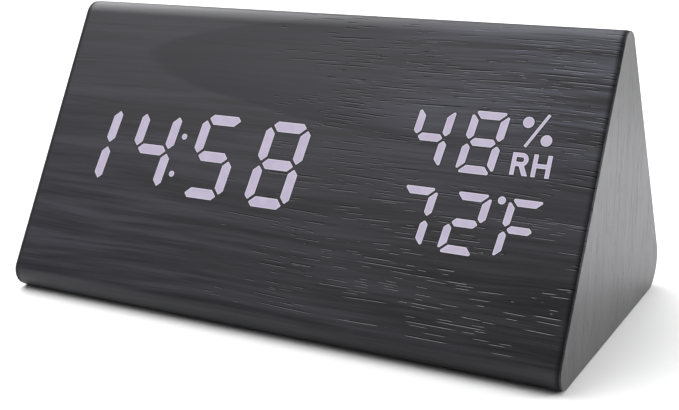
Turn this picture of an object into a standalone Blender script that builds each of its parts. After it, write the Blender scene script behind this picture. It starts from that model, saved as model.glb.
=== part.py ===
"""Triangular desk clock with humidity and temperature read-outs, in metres, +Z up.

The body is a hollow triangular beam of fibreboard, closed by two plugs and covered in wood-grain film.
Display blocks sit in windows of its front wall and shine out through the film. A moulded panel in its
rear wall carries the buttons, the battery tray with its hinged door, and the power inlet.
"""

import math

import bmesh
import bpy
from mathutils import Matrix, Vector

# Body
LENGTH = 0.150
SIDE = 0.088                    # of the triangular section, to its sharp corners
TOP_RADIUS = 0.0047
FRONT_RADIUS = 0.0047
BACK_RADIUS = 0.0070
CAVITY_RADIUS = 0.0025          # inside corners of the beam
WALL = 0.0070                   # fibreboard
PLUG = 0.0060                   # thickness of an end plug
FILM = 0.0004
GLUE = 0.0001                   # glue line under the film
CLEARANCE = 0.0003              # between pieces that slip together
SEAT = 0.0002                   # between flat faces that are held together

# Display: places on the front face, from its ends and from its middle line
TIME_INSET = 0.0145             # left end to the middle of the first digit
TIME_PITCH = 0.01895
TIME_RISE = -0.0007             # middle line of the face to the middle of the digits
COLON_OFFSET = 0.02750          # first digit to the colon
COLON_HALF_GAP = 0.0050
COLON_RADIUS = 0.00083
CLIMATE_INSET = 0.0409          # right end to the middle of the first small digit
CLIMATE_PITCH = 0.0130
HUMIDITY_RISE = 0.0104
TEMPERATURE_RISE = -0.0087
LEGEND_OFFSET = 0.0124          # last small digit to the middle of the unit marks
LEGEND_WIDTH = 0.0108
LEGEND_HEIGHT = 0.0160
LEGEND_RISE = 0.0006            # middle of the humidity digits to the middle of its unit marks
UNIT_OFFSET = 0.0128            # last small digit to the letter of the temperature unit
DEGREE_OFFSET = -0.0053         # letter to its degree dot
DEGREE_RISE = 0.0063
DEGREE_RADIUS = 0.00095

# Display: bars of the digits
TIME_HALF_WIDTH = 0.00493       # to the middle of the upright bars
TIME_HALF_HEIGHT = 0.00968      # to the middle of the top and bottom bars
TIME_STROKE = 0.0026
TIME_LEAN = 0.10                # sideways shift for each unit of height
TIME_TIP_GAP = 0.00042          # corner of the digit to the tip of a bar
TIME_TIP_RISE = 0.00026         # an outer tip stands this far outside the middle of its bar
SMALL_HALF_WIDTH = 0.0036
UNIT_HALF_WIDTH = 0.00335
HUMIDITY_HALF_HEIGHT = 0.0066
TEMPERATURE_HALF_HEIGHT = 0.0064
SMALL_STROKE = 0.0021
UNIT_STROKE = 0.00185
SMALL_LEAN = 0.115
SMALL_TIP_GAP = 0.00035
SMALL_TIP_RISE = 0.0006

# Display: unit marks, from the middle of their block
SLASH_LOW = (-0.0026, -0.0009)
SLASH_HIGH = (0.0022, 0.0074)
SLASH_WIDTH = 0.00086
PERCENT_DOT_RADIUS = 0.00135
PERCENT_LEFT_DOT = (-0.00264, 0.00513)
PERCENT_RIGHT_DOT = (0.00226, 0.00127)
LETTER_HEIGHT = 0.0053
LETTER_WIDTH = 0.0045
LETTER_STROKE = 0.0011
LETTER_GAP = 0.0006
LETTER_BASE = -0.0074           # middle of the block to the foot of the letters
BOWL_RADIUS = 0.0016            # of the letter R
BOWL_INSET = 0.0003             # bowl inside the width of the letter
BOWL_START = -68.0              # degrees, where the bowl leaves the leg
LEG_SHIFT = 0.0004              # inner side of the leg, left of the middle of the bowl
LEG_FOOT = 0.0014

# Display: depths and fits
GUIDE_SLAB = 0.0008             # back plate of a light guide
SLAB_MARGIN = 0.00035           # back plate past the outline of its digit
HOUSING_MARGIN = 0.0008         # housing past the back plates
WELL_CLEARANCE = 0.00012        # round a bar in its well
WINDOW_CLEARANCE = 0.00010      # round a bar in the film
LIT_RECESS = 0.00005            # lit bars end just under the face of the film
BOARD = 0.0016                  # both circuit boards
BOARD_INSET = 0.0016            # ends of the housings past the display board
DISPLAY_SCREW_INSET = 0.0060    # ends of the time housing to the screws beside it
DISPLAY_SCREW_LENGTH = 0.0062
DISPLAY_SCREW_ROOM = 0.0034     # housing to the middle of a screw above or below it

# Batteries and their tray
CELL_COUNT = 3
CELL_LENGTH = 0.0445            # over the nub
CELL_RADIUS = 0.00525
CELL_NUB_RADIUS = 0.0019
CELL_NUB = 0.0010
CELL_RIM = 0.0005               # rounded ends of the can
CELL_PITCH = 0.0110
CELL_ROOM = 0.0004              # door to a cell, and cell to the tray
SPRING_LENGTH = 0.0060
SPRING_WIRE = 0.0006
SPRING_WIDE_RADIUS = 0.0036
SPRING_NARROW_RADIUS = 0.0024
SPRING_TURNS = 3
CONTACT = 0.0004
CONTACT_HEIGHT = 0.0084         # across one cell
CONTACT_TAB = 0.0024            # width of a solder tab
CONTACT_TAB_REACH = 0.0016      # solder tab past the floor of the tray
TRAY_WALL = 0.0012
TRAY_GAP = 0.0020               # control board to the wall of the tray
WIRE = 0.0012
WIRE_SAG = 0.0003
WIRE_DROP = 0.0030              # wire below the control board just before it lands
WIRE_LEAD = 0.0016              # straight start of a wire at its tab
WIRE_TURN = 0.0044              # landing on the board to where a wire turns towards it
WIRE_RISE = 0.0008              # landing on the board to where a wire rises to it
NEGATIVE_LANDING = 0.0030       # edge of the control board to where a wire lands
POSITIVE_LANDING = 0.0070

# Rear panel and door
PANEL = 0.0028
PANEL_DROP = 0.0050             # middle line of the rear face to the middle of the panel
PANEL_CORNER = 0.0040
LEDGE_SIDE = 0.0065             # seat of the panel at its two ends
LEDGE_EDGE = 0.0028             # seat of the panel along its long sides
OPENING_ROOM = 0.0011           # wall round the tray and the control board
DOOR = 0.0018
DOOR_LAP = 0.0013               # door past the mouth of the tray
HINGE_PIN_RADIUS = 0.00065
HINGE_PIN_LENGTH = 0.0014
HINGE_CLEARANCE = 0.0001
LATCH_WIDTH = 0.0080
LATCH = 0.0010
LATCH_DEPTH = 0.0020
SCOOP_RADIUS = 0.0050           # finger scoop beside the door
SCOOP_DEPTH = 0.0012

# Controls
CONTROL_WIDTH = 0.0390
CONTROL_HEIGHT = 0.0330
CONTROL_DEPTH = 0.0098          # face of the panel to the face of the board
BUTTON_RADIUS = 0.0030
BUTTON_PROUD = 0.0010
BUTTON_TRAVEL = 0.0008
BUTTON_PITCH = 0.0110
BUTTON_RISE = 0.0092
BUTTON_FLANGE_RADIUS = 0.0039
BUTTON_FLANGE = 0.0008
BUTTON_STEM_RADIUS = 0.0015
BUTTON_EDGE = 0.0004
SWITCH_WIDTH = 0.0060
SWITCH_HEIGHT = 0.0035
STEM_REACH = 0.0009             # stem into the well of its switch
SOCKET_OFFSET = (-0.0115, -0.0088)
SOCKET_WIDTH = 0.0090
SOCKET_SNOUT_RADIUS = 0.0036
SOCKET_BORE_RADIUS = 0.0020
SOCKET_BORE_DEPTH = 0.0085
SOCKET_PIN_RADIUS = 0.00068
SOCKET_RECESS = 0.0003
BUZZER_OFFSET = (0.0, -0.0088)
BUZZER_RADIUS = 0.0047
BUZZER_HOLE_RADIUS = 0.0010
SOUND_HOLE_RADIUS = 0.0007
SOUND_HOLE_CIRCLE = 0.0026
SOUND_HOLE_COUNT = 6
SENSOR_OFFSET = (0.0115, -0.0088)
SENSOR_WIDTH = 0.0094
SENSOR_HEIGHT = 0.0100
VENT_COUNT = 4
VENT_PITCH = 0.0024
VENT_WIDTH = 0.0092
VENT_HEIGHT = 0.0012
GRILLE_DEPTH = 0.0012           # slots in the cap of the sensor
CHIP_WIDTH = 0.0066
CHIP = 0.0010
CHIP_RISE = 0.0010
CRYSTAL_RADIUS = 0.0010
CRYSTAL_LENGTH = 0.0056
CRYSTAL_OFFSET = 0.0078
BOSS_OFFSET = 0.0170            # middle of the control board to its two bosses
BOSS_RADIUS = 0.0023
BOSS_RISE = 0.0010
RIBBON_WIDTH = 0.0120
RIBBON = 0.0006
RIBBON_BULGE = 0.0100           # how squarely the ribbon leaves each board
RIBBON_FRONT_RISE = 0.0020
RIBBON_BACK_RISE = 0.0020

# Screws
SCREW_RADIUS = 0.0011
SCREW_HEAD_RADIUS = 0.0022
SCREW_HEAD = 0.0013
SCREW_HEAD_EDGE = 0.00045
SCREW_TIP = 0.7                 # share of the shank's radius
SCREW_HOLE_CLEARANCE = 0.0003
PANEL_SCREW_LENGTH = 0.0056
PANEL_SCREW_RISE = 0.0135       # middle of the panel to its screws
HEAD_RECESS = 0.0015
SMALL_SCREW_RADIUS = 0.0008
SMALL_SCREW_HEAD_RADIUS = 0.0018
SMALL_SCREW_LENGTH = 0.0062

# Counts of facets
CORNER_STEPS = 12
ROUND_SIDES = 20
SMALL_SIDES = 12
PANEL_CORNER_STEPS = 8

ROOT3 = math.sqrt(3.0)
CENTRE_SHIFT = (BACK_RADIUS - FRONT_RADIUS) * (ROOT3 - 1.0) / 2.0
SKIN = FILM + GLUE                       # depth of the outer face of the fibreboard
INNER_FACE = SKIN + WALL                 # depth of the inner face of the fibreboard
WRAP_END = LENGTH / 2 - FILM - GLUE      # where the wrapped faces stop
BOARD_FACE = INNER_FACE + SEAT
GUIDE_BACK = BOARD_FACE - SEAT
GUIDE_FRONT = GUIDE_BACK - GUIDE_SLAB
HOUSING_BACK = GUIDE_FRONT - SEAT
UNLIT_DEPTH = SKIN + CLEARANCE
SWITCH_WELL = STEM_REACH + BUTTON_TRAVEL + CLEARANCE

TIME_START = -LENGTH / 2 + TIME_INSET
TIME_HEIGHT = SIDE / 2 + TIME_RISE
CLIMATE_START = LENGTH / 2 - CLIMATE_INSET
LAST_DIGIT = CLIMATE_START + CLIMATE_PITCH
HUMIDITY_HEIGHT = SIDE / 2 + HUMIDITY_RISE
TEMPERATURE_HEIGHT = SIDE / 2 + TEMPERATURE_RISE

BAY_LENGTH = CELL_LENGTH + SPRING_LENGTH + 2 * (CONTACT + SEAT) + 3 * SEAT
BAY_HEIGHT = CELL_PITCH * (CELL_COUNT - 1) + 2 * (CELL_RADIUS + CELL_ROOM)
CELL_DEPTH = DOOR + CELL_ROOM + CELL_RADIUS
BAY_FLOOR = CELL_DEPTH + CELL_RADIUS + CELL_ROOM
TRAY_BOTTOM = BAY_FLOOR + TRAY_WALL
DOOR_HALF_LENGTH = BAY_LENGTH / 2 + DOOR_LAP
DOOR_HALF_HEIGHT = BAY_HEIGHT / 2 + DOOR_LAP
HINGE_HEIGHT = -DOOR_HALF_HEIGHT + DOOR / 2
OPENING_HALF_HEIGHT = max(BAY_HEIGHT / 2 + TRAY_WALL, CONTROL_HEIGHT / 2) + OPENING_ROOM
CONTENTS_WIDTH = CONTROL_WIDTH + TRAY_GAP + BAY_LENGTH + 2 * TRAY_WALL
CONTROL_OFFSET = (CONTROL_WIDTH - CONTENTS_WIDTH) / 2       # middle of the panel to that of the control board
BAY_OFFSET = (CONTENTS_WIDTH - BAY_LENGTH) / 2 - TRAY_WALL  # middle of the panel to that of the tray
OPENING_HALF_WIDTH = CONTENTS_WIDTH / 2 + OPENING_ROOM
PANEL_HALF_WIDTH = OPENING_HALF_WIDTH + LEDGE_SIDE
PANEL_HALF_HEIGHT = OPENING_HALF_HEIGHT + LEDGE_EDGE

LIT_BARS = {"1": "bc", "2": "abged", "4": "fgbc", "5": "afgcd", "7": "abc", "8": "abcdefg", "F": "afge"}
TIME_READING = "1458"
HUMIDITY_READING = "48"
TEMPERATURE_READING = "72"


def clear_scene():
    for item in list(bpy.data.objects):
        bpy.data.objects.remove(item, do_unlink=True)


def finish(name, colour, roughness, metallic=0.0):
    """Material with one Principled shader."""
    material = bpy.data.materials.new(name)
    material.use_nodes = True
    shader = material.node_tree.nodes["Principled BSDF"]
    shader.inputs["Base Color"].default_value = (*colour, 1.0)
    shader.inputs["Roughness"].default_value = roughness
    shader.inputs["Metallic"].default_value = metallic
    material.diffuse_color = (*colour, 1.0)
    return material


def frame(name, matrix, parent=None):
    """Empty that carries the pieces of one face."""
    empty = bpy.data.objects.new(name, None)
    bpy.context.scene.collection.objects.link(empty)
    empty.parent = parent
    empty.matrix_local = matrix
    return empty


def columns(across, up, outward, origin):
    """Matrix whose local X, Y and Z run along three given directions."""
    return Matrix.Translation(origin) @ Matrix((across, up, outward)).transposed().to_4x4()


def place(name, mesh, parent, material, location=(0.0, 0.0, 0.0)):
    """Turns a working mesh into a named object on one of the frames."""
    bmesh.ops.recalc_face_normals(mesh, faces=mesh.faces)
    data = bpy.data.meshes.new(name)
    mesh.to_mesh(data)
    mesh.free()
    if material:
        data.materials.append(material)
    item = bpy.data.objects.new(name, data)
    bpy.context.scene.collection.objects.link(item)
    item.parent = parent
    item.location = location
    return item


def smooth(item, angle=35.0):
    item.data.shade_smooth()
    item.data.set_sharp_from_angle(angle=math.radians(angle))


def apply_tool(target, suffix, mesh, operation, parent=None):
    """Cuts a hidden tool out of a piece, or joins it on. The tool shares the piece's frame and place."""
    same_frame = parent is None
    tool = place(f"{target.name}_{suffix}", mesh, target.parent if same_frame else parent, None,
                 target.location if same_frame else (0.0, 0.0, 0.0))
    tool.hide_render = True
    tool.display_type = "WIRE"
    step = target.modifiers.new(suffix, "BOOLEAN")
    step.operation = operation
    step.solver = "EXACT"
    step.object = tool


def carve(target, suffix, mesh, parent=None):
    apply_tool(target, suffix, mesh, "DIFFERENCE", parent)


def join_on(target, suffix, mesh):
    apply_tool(target, suffix, mesh, "UNION")


def prism(mesh, loops, low, high):
    """Adds a solid between two heights. Its plan is an outer loop with any holes."""
    edges = []
    for loop in loops:
        corners = [mesh.verts.new((x, y, low)) for x, y in loop]
        edges += [mesh.edges.new((corners[k - 1], corners[k])) for k in range(len(corners))]
    filled = bmesh.ops.triangle_fill(mesh, use_beauty=True, edges=edges)["geom"]
    faces = [part for part in filled if isinstance(part, bmesh.types.BMFace)]
    raised = bmesh.ops.extrude_face_region(mesh, geom=faces)["geom"]
    corners = [part for part in raised if isinstance(part, bmesh.types.BMVert)]
    bmesh.ops.translate(mesh, verts=corners, vec=(0.0, 0.0, high - low))
    return mesh


def turned(mesh, profile, sides, centre=(0.0, 0.0)):
    """Adds a solid of revolution about local Z. Its profile of (radius, height) runs from pole to pole."""
    rings = []
    for radius, height in profile:
        angles = [2 * math.pi * k / sides for k in range(sides if radius else 1)]
        spots = [(centre[0] + radius * math.cos(a), centre[1] + radius * math.sin(a), height) for a in angles]
        rings.append([mesh.verts.new(spot) for spot in spots])
    for lower, upper in zip(rings, rings[1:]):
        for k in range(sides):
            corners = [lower[k % len(lower)], lower[(k + 1) % len(lower)],
                       upper[(k + 1) % len(upper)], upper[k % len(upper)]]
            mesh.faces.new(list(dict.fromkeys(corners)))
    return mesh


def drum(mesh, radius, low, high, sides, centre=(0.0, 0.0)):
    """Adds a plain upright cylinder."""
    return turned(mesh, [(0.0, low), (radius, low), (radius, high), (0.0, high)], sides, centre)


def block(mesh, centre, width, height, low, high):
    """Adds a box by its middle, its width and height on the face, and two heights above it."""
    return prism(mesh, [rectangle(*centre, width / 2, height / 2)], low, high)


def circle(x, y, radius, sides):
    angles = [2 * math.pi * k / sides for k in range(sides)]
    return [(x + radius * math.cos(a), y + radius * math.sin(a)) for a in angles]


def rectangle(x, y, half_width, half_height):
    return [(x - half_width, y - half_height), (x + half_width, y - half_height),
            (x + half_width, y + half_height), (x - half_width, y + half_height)]


def arc(x, y, radius, start, end, steps):
    """Points on an arc, both ends included. Angles are in degrees."""
    angles = [math.radians(start + (end - start) * k / steps) for k in range(steps + 1)]
    return [(x + radius * math.cos(a), y + radius * math.sin(a)) for a in angles]


def rounded_rectangle(x, y, half_width, half_height, radius, steps=4):
    wide = half_width - radius
    tall = half_height - radius
    corners = ((wide, tall, 0), (-wide, tall, 90), (-wide, -tall, 180), (wide, -tall, 270))
    return [point for dx, dy, turn in corners
            for point in arc(x + dx, y + dy, radius, turn, turn + 90, steps)]


def grown(loop, by):
    """Outline moved outwards by a distance, corner by corner. A hole runs the other way round and shrinks."""
    result = []
    for k, point in enumerate(loop):
        before = (Vector(point) - Vector(loop[k - 1])).normalized()
        after = (Vector(loop[(k + 1) % len(loop)]) - Vector(point)).normalized()
        outward = Vector((before.y + after.y, -before.x - after.x))
        reach = 2 * by / (1.0 + before.dot(after))
        result.append(tuple(Vector(point) + outward * reach / 2))
    return result


def moved(loop, x, y):
    return [(px + x, py + y) for px, py in loop]


def leaning(loop, lean):
    return [(px + lean * py, py) for px, py in loop]


def section(inset, top, front, back):
    """Rounded triangle of the body's section, set in from its faces, with a radius for each corner."""
    middle = SIDE / (2 * ROOT3)
    loop = []
    for radius, direction in ((front, 210.0), (back, 330.0), (top, 90.0)):
        reach = 2 * (middle - inset) - 2 * radius
        angle = math.radians(direction)
        loop += arc(reach * math.cos(angle), middle + reach * math.sin(angle), radius,
                    direction - 60.0, direction + 60.0, CORNER_STEPS)
    return loop


def skin_section(inset):
    """Section of the outside of the body, set in by less than its corner radii."""
    return section(inset, TOP_RADIUS - inset, FRONT_RADIUS - inset, BACK_RADIUS - inset)


def cavity_section(inset):
    return section(inset, CAVITY_RADIUS, CAVITY_RADIUS, CAVITY_RADIUS)


def front_point(rise, depth):
    """Point of the section at a height up the front face and a depth behind it."""
    return Vector((-SIDE / 2 + rise / 2 + depth * ROOT3 / 2, rise * ROOT3 / 2 - depth / 2))


def back_point(rise, depth):
    """Point of the section at a height up the rear face and a depth behind it."""
    return Vector((SIDE / 2 - rise / 2 - depth * ROOT3 / 2, rise * ROOT3 / 2 - depth / 2))


class Digit:
    """One seven-segment digit: its place on the front face, its proportions and the bars that are lit."""

    def __init__(self, centre, half_width, half_height, stroke, lean, tip_gap, tip_rise, lit):
        self.centre = centre
        self.half_width = half_width
        self.half_height = half_height
        self.stroke = stroke
        self.lean = lean
        self.tip_gap = tip_gap
        self.tip_rise = tip_rise
        self.lit = lit

    def bar(self, start, end, outside, outer_start, outer_end):
        """Six-sided bar along a line. A tip at an outer corner stands outside the line, others lie on it."""
        start, end, outside = Vector(start), Vector(end), Vector(outside)
        along = (end - start).normalized()
        half = self.stroke / 2
        inner_side, outer_side = [], []
        tips = []
        for corner, inward, is_outer in ((start, along, outer_start), (end, -along, outer_end)):
            rise = self.tip_rise if is_outer else 0.0
            tip = corner + inward * (self.tip_gap - rise) + outside * rise
            tips.append(tip)
            inner_side.append(tip + inward * (half + rise) - outside * (half + rise))
            outer_side.append(tip + inward * (half - rise) + outside * (half - rise))
        loop = [tips[0], inner_side[0], inner_side[1], tips[1], outer_side[1], outer_side[0]]
        if along.cross(outside) < 0:
            loop.reverse()
        return self.at_place([tuple(point) for point in loop])

    def bars(self):
        """Outlines of the seven bars, by the letters that such displays use."""
        w, h = self.half_width, self.half_height
        left, right = (-1.0, 0.0), (1.0, 0.0)
        return {
            "a": self.bar((-w, h), (w, h), (0.0, 1.0), True, True),
            "b": self.bar((w, 0.0), (w, h), right, False, True),
            "c": self.bar((w, 0.0), (w, -h), right, False, True),
            "d": self.bar((-w, -h), (w, -h), (0.0, -1.0), True, True),
            "e": self.bar((-w, 0.0), (-w, -h), left, False, True),
            "f": self.bar((-w, 0.0), (-w, h), left, False, True),
            "g": self.bar((-w, 0.0), (w, 0.0), (0.0, 1.0), False, False),
        }

    def at_place(self, loop):
        return moved(leaning(loop, self.lean), *self.centre)

    def lit_loops(self):
        return [loop for letter, loop in self.bars().items() if letter in self.lit]

    def unlit_loops(self):
        return [loop for letter, loop in self.bars().items() if letter not in self.lit]

    def slab(self, reach_left=0.0):
        """Back plate of the digit, longer on its left where a dot stands there."""
        wide = self.half_width + self.stroke / 2 + SLAB_MARGIN
        tall = self.half_height + self.stroke / 2 + SLAB_MARGIN
        return self.at_place(rectangle(-reach_left / 2, 0.0, wide + reach_left / 2, tall))


class Marks:
    """Dots or letters of the display that are always lit, with their back plate."""

    def __init__(self, loops, holes, plate):
        self.loops = loops
        self.holes = holes
        self.plate = plate

    def lit_loops(self):
        return self.loops

    def unlit_loops(self):
        return []


def time_digits():
    return [Digit((TIME_START + k * TIME_PITCH, TIME_HEIGHT), TIME_HALF_WIDTH, TIME_HALF_HEIGHT, TIME_STROKE,
                  TIME_LEAN, TIME_TIP_GAP, TIME_TIP_RISE, LIT_BARS[figure])
            for k, figure in enumerate(TIME_READING)]


def climate_digits(reading, height, half_height):
    return [Digit((CLIMATE_START + k * CLIMATE_PITCH, height), SMALL_HALF_WIDTH, half_height, SMALL_STROKE,
                  SMALL_LEAN, SMALL_TIP_GAP, SMALL_TIP_RISE, LIT_BARS[figure])
            for k, figure in enumerate(reading)]


def unit_letter():
    """Letter F of the temperature unit, made like a digit."""
    return Digit((LAST_DIGIT + UNIT_OFFSET, TEMPERATURE_HEIGHT), UNIT_HALF_WIDTH, TEMPERATURE_HALF_HEIGHT,
                 UNIT_STROKE, SMALL_LEAN, SMALL_TIP_GAP, SMALL_TIP_RISE, LIT_BARS["F"])


def colon_marks():
    x = TIME_START + COLON_OFFSET
    dots = [circle(x + TIME_LEAN * rise, TIME_HEIGHT + rise, COLON_RADIUS, SMALL_SIDES)
            for rise in (-COLON_HALF_GAP, COLON_HALF_GAP)]
    plate = rectangle(0.0, 0.0, COLON_RADIUS + SLAB_MARGIN, COLON_HALF_GAP + COLON_RADIUS + SLAB_MARGIN)
    return Marks(dots, [[], []], moved(leaning(plate, TIME_LEAN), x, TIME_HEIGHT))


def letter_r():
    """Outline and counter of a plain capital R, from its lower left corner."""
    bowl_middle = LETTER_HEIGHT - BOWL_RADIUS
    bowl_x = LETTER_WIDTH - BOWL_INSET - BOWL_RADIUS
    waist = LETTER_HEIGHT - 2 * BOWL_RADIUS
    outline = [(0.0, 0.0), (LETTER_STROKE, 0.0), (LETTER_STROKE, waist), (bowl_x - LEG_SHIFT, waist),
               (LETTER_WIDTH - LEG_FOOT, 0.0), (LETTER_WIDTH, 0.0)]
    outline += arc(bowl_x, bowl_middle, BOWL_RADIUS, BOWL_START, 90.0, 8)
    outline.append((0.0, LETTER_HEIGHT))
    inner = BOWL_RADIUS - LETTER_STROKE
    counter = arc(bowl_x, bowl_middle, inner, 90.0, -90.0, 6)
    counter += [(LETTER_STROKE, bowl_middle - inner), (LETTER_STROKE, bowl_middle + inner)]
    return outline, counter


def letter_h():
    """Outline of a plain capital H, from its lower left corner."""
    stem, width, height = LETTER_STROKE, LETTER_WIDTH, LETTER_HEIGHT
    low, high = (height - stem) / 2, (height + stem) / 2
    return [(0.0, 0.0), (stem, 0.0), (stem, low), (width - stem, low), (width - stem, 0.0), (width, 0.0),
            (width, height), (width - stem, height), (width - stem, high), (stem, high), (stem, height),
            (0.0, height)]


def humidity_marks():
    """Per-cent sign over the letters RH, which stand for relative humidity."""
    x = LAST_DIGIT + LEGEND_OFFSET
    y = HUMIDITY_HEIGHT + LEGEND_RISE
    low, high = Vector(SLASH_LOW), Vector(SLASH_HIGH)
    across = (high - low).orthogonal().normalized() * SLASH_WIDTH / 2
    slash = [tuple(point) for point in (low + across, low - across, high - across, high + across)]
    slash.sort(key=lambda point: math.atan2(point[1] - (low.y + high.y) / 2, point[0] - (low.x + high.x) / 2))
    dots = [circle(*place_of_dot, PERCENT_DOT_RADIUS, SMALL_SIDES)
            for place_of_dot in (PERCENT_LEFT_DOT, PERCENT_RIGHT_DOT)]
    r_outline, r_counter = letter_r()
    r_left = -LETTER_WIDTH - LETTER_GAP / 2
    letters = [moved(r_outline, r_left, LETTER_BASE), moved(letter_h(), LETTER_GAP / 2, LETTER_BASE)]
    loops = [moved(loop, x, y) for loop in (slash, *dots, *letters)]
    holes = [[], [], [], [moved(r_counter, x + r_left, y + LETTER_BASE)], []]
    return Marks(loops, holes, rectangle(x, y, LEGEND_WIDTH / 2, LEGEND_HEIGHT / 2))


def temperature_marks():
    """Degree dot and the letter of the unit, on one plate."""
    letter = unit_letter()
    dot = circle(letter.centre[0] + DEGREE_OFFSET, letter.centre[1] + DEGREE_RISE, DEGREE_RADIUS, SMALL_SIDES)
    loops = letter.lit_loops() + [dot]
    dot_reach = -DEGREE_OFFSET + SMALL_LEAN * DEGREE_RISE + DEGREE_RADIUS - UNIT_HALF_WIDTH - UNIT_STROKE / 2
    return Marks(loops, [[] for _ in loops], letter.slab(reach_left=dot_reach))


def bounds_of(loops):
    xs = [x for loop in loops for x, y in loop]
    ys = [y for loop in loops for x, y in loop]
    return min(xs), max(xs), min(ys), max(ys)


def around(loops, margin):
    """Upright rectangle round some outlines."""
    left, right, bottom, top = bounds_of(loops)
    return [(left - margin, bottom - margin), (right + margin, bottom - margin),
            (right + margin, top + margin), (left - margin, top + margin)]


def plate_of(figure):
    return figure.plate if isinstance(figure, Marks) else figure.slab()


def light_guide(name, figure, parent, material):
    """Clear plate with a raised bar for each segment. Lit bars reach the film's face, others stop below."""
    plate = prism(bmesh.new(), [plate_of(figure)], -GUIDE_BACK, -GUIDE_FRONT)
    guide = place(name, plate, parent, material)
    root = -(GUIDE_BACK + GUIDE_FRONT) / 2
    bars = bmesh.new()
    holes = figure.holes if isinstance(figure, Marks) else [[] for _ in figure.lit]
    for loop, counters in zip(figure.lit_loops(), holes):
        prism(bars, [loop, *counters], root, -LIT_RECESS)
    for loop in figure.unlit_loops():
        prism(bars, [loop], root, -UNLIT_DEPTH)
    join_on(guide, "bars", bars)


def display_housing(name, figures, parent, material):
    """Black block with a well for each bar of its figures."""
    wells = [grown(loop, WELL_CLEARANCE) for figure in figures
             for loop in figure.lit_loops() + figure.unlit_loops()]
    outline = around([plate_of(figure) for figure in figures], HOUSING_MARGIN)
    place(name, prism(bmesh.new(), [outline, *wells], -HOUSING_BACK, -SKIN), parent, material)
    return outline


def screw_profile(radius, head_radius, length):
    """Pan-head screw from the end of its shank, with its seat at height 0."""
    return [(0.0, -length), (radius * SCREW_TIP, -length), (radius, -length + radius), (radius, 0.0),
            (head_radius, 0.0), (head_radius, SCREW_HEAD - SCREW_HEAD_EDGE),
            (head_radius - SCREW_HEAD_EDGE, SCREW_HEAD), (0.0, SCREW_HEAD)]


def screw(name, parent, material, centre, seat, outward, sizes):
    """Screw whose head stands on a seat and points along or against the face's outward normal."""
    profile = [(radius, seat + outward * height) for radius, height in screw_profile(*sizes)]
    item = place(name, turned(bmesh.new(), profile, SMALL_SIDES, centre), parent, material)
    smooth(item)


def build_body(frames, finishes):
    """Beam, plugs and films. Returns the beam and the wrap, which the face assemblies cut."""
    beam_loops = [skin_section(SKIN), cavity_section(INNER_FACE)]
    beam = place("body_tube", prism(bmesh.new(), beam_loops, -WRAP_END, WRAP_END),
                 frames["section"], finishes["fibreboard"])
    wrap_loops = [skin_section(0.0), skin_section(FILM)]
    wrap = place("wrap_film", prism(bmesh.new(), wrap_loops, -WRAP_END, WRAP_END),
                 frames["section"], finishes["film"])
    for side, sign in (("left", -1.0), ("right", 1.0)):
        inner, outer = sorted((sign * (WRAP_END - PLUG), sign * WRAP_END))
        place(f"end_plug_{side}", prism(bmesh.new(), [cavity_section(INNER_FACE + CLEARANCE)], inner, outer),
              frames["section"], finishes["fibreboard"])
        inner, outer = sorted((sign * (LENGTH / 2 - FILM), sign * LENGTH / 2))
        place(f"end_film_{side}", prism(bmesh.new(), [skin_section(0.0)], inner, outer),
              frames["section"], finishes["film"])
    return beam, wrap


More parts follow.
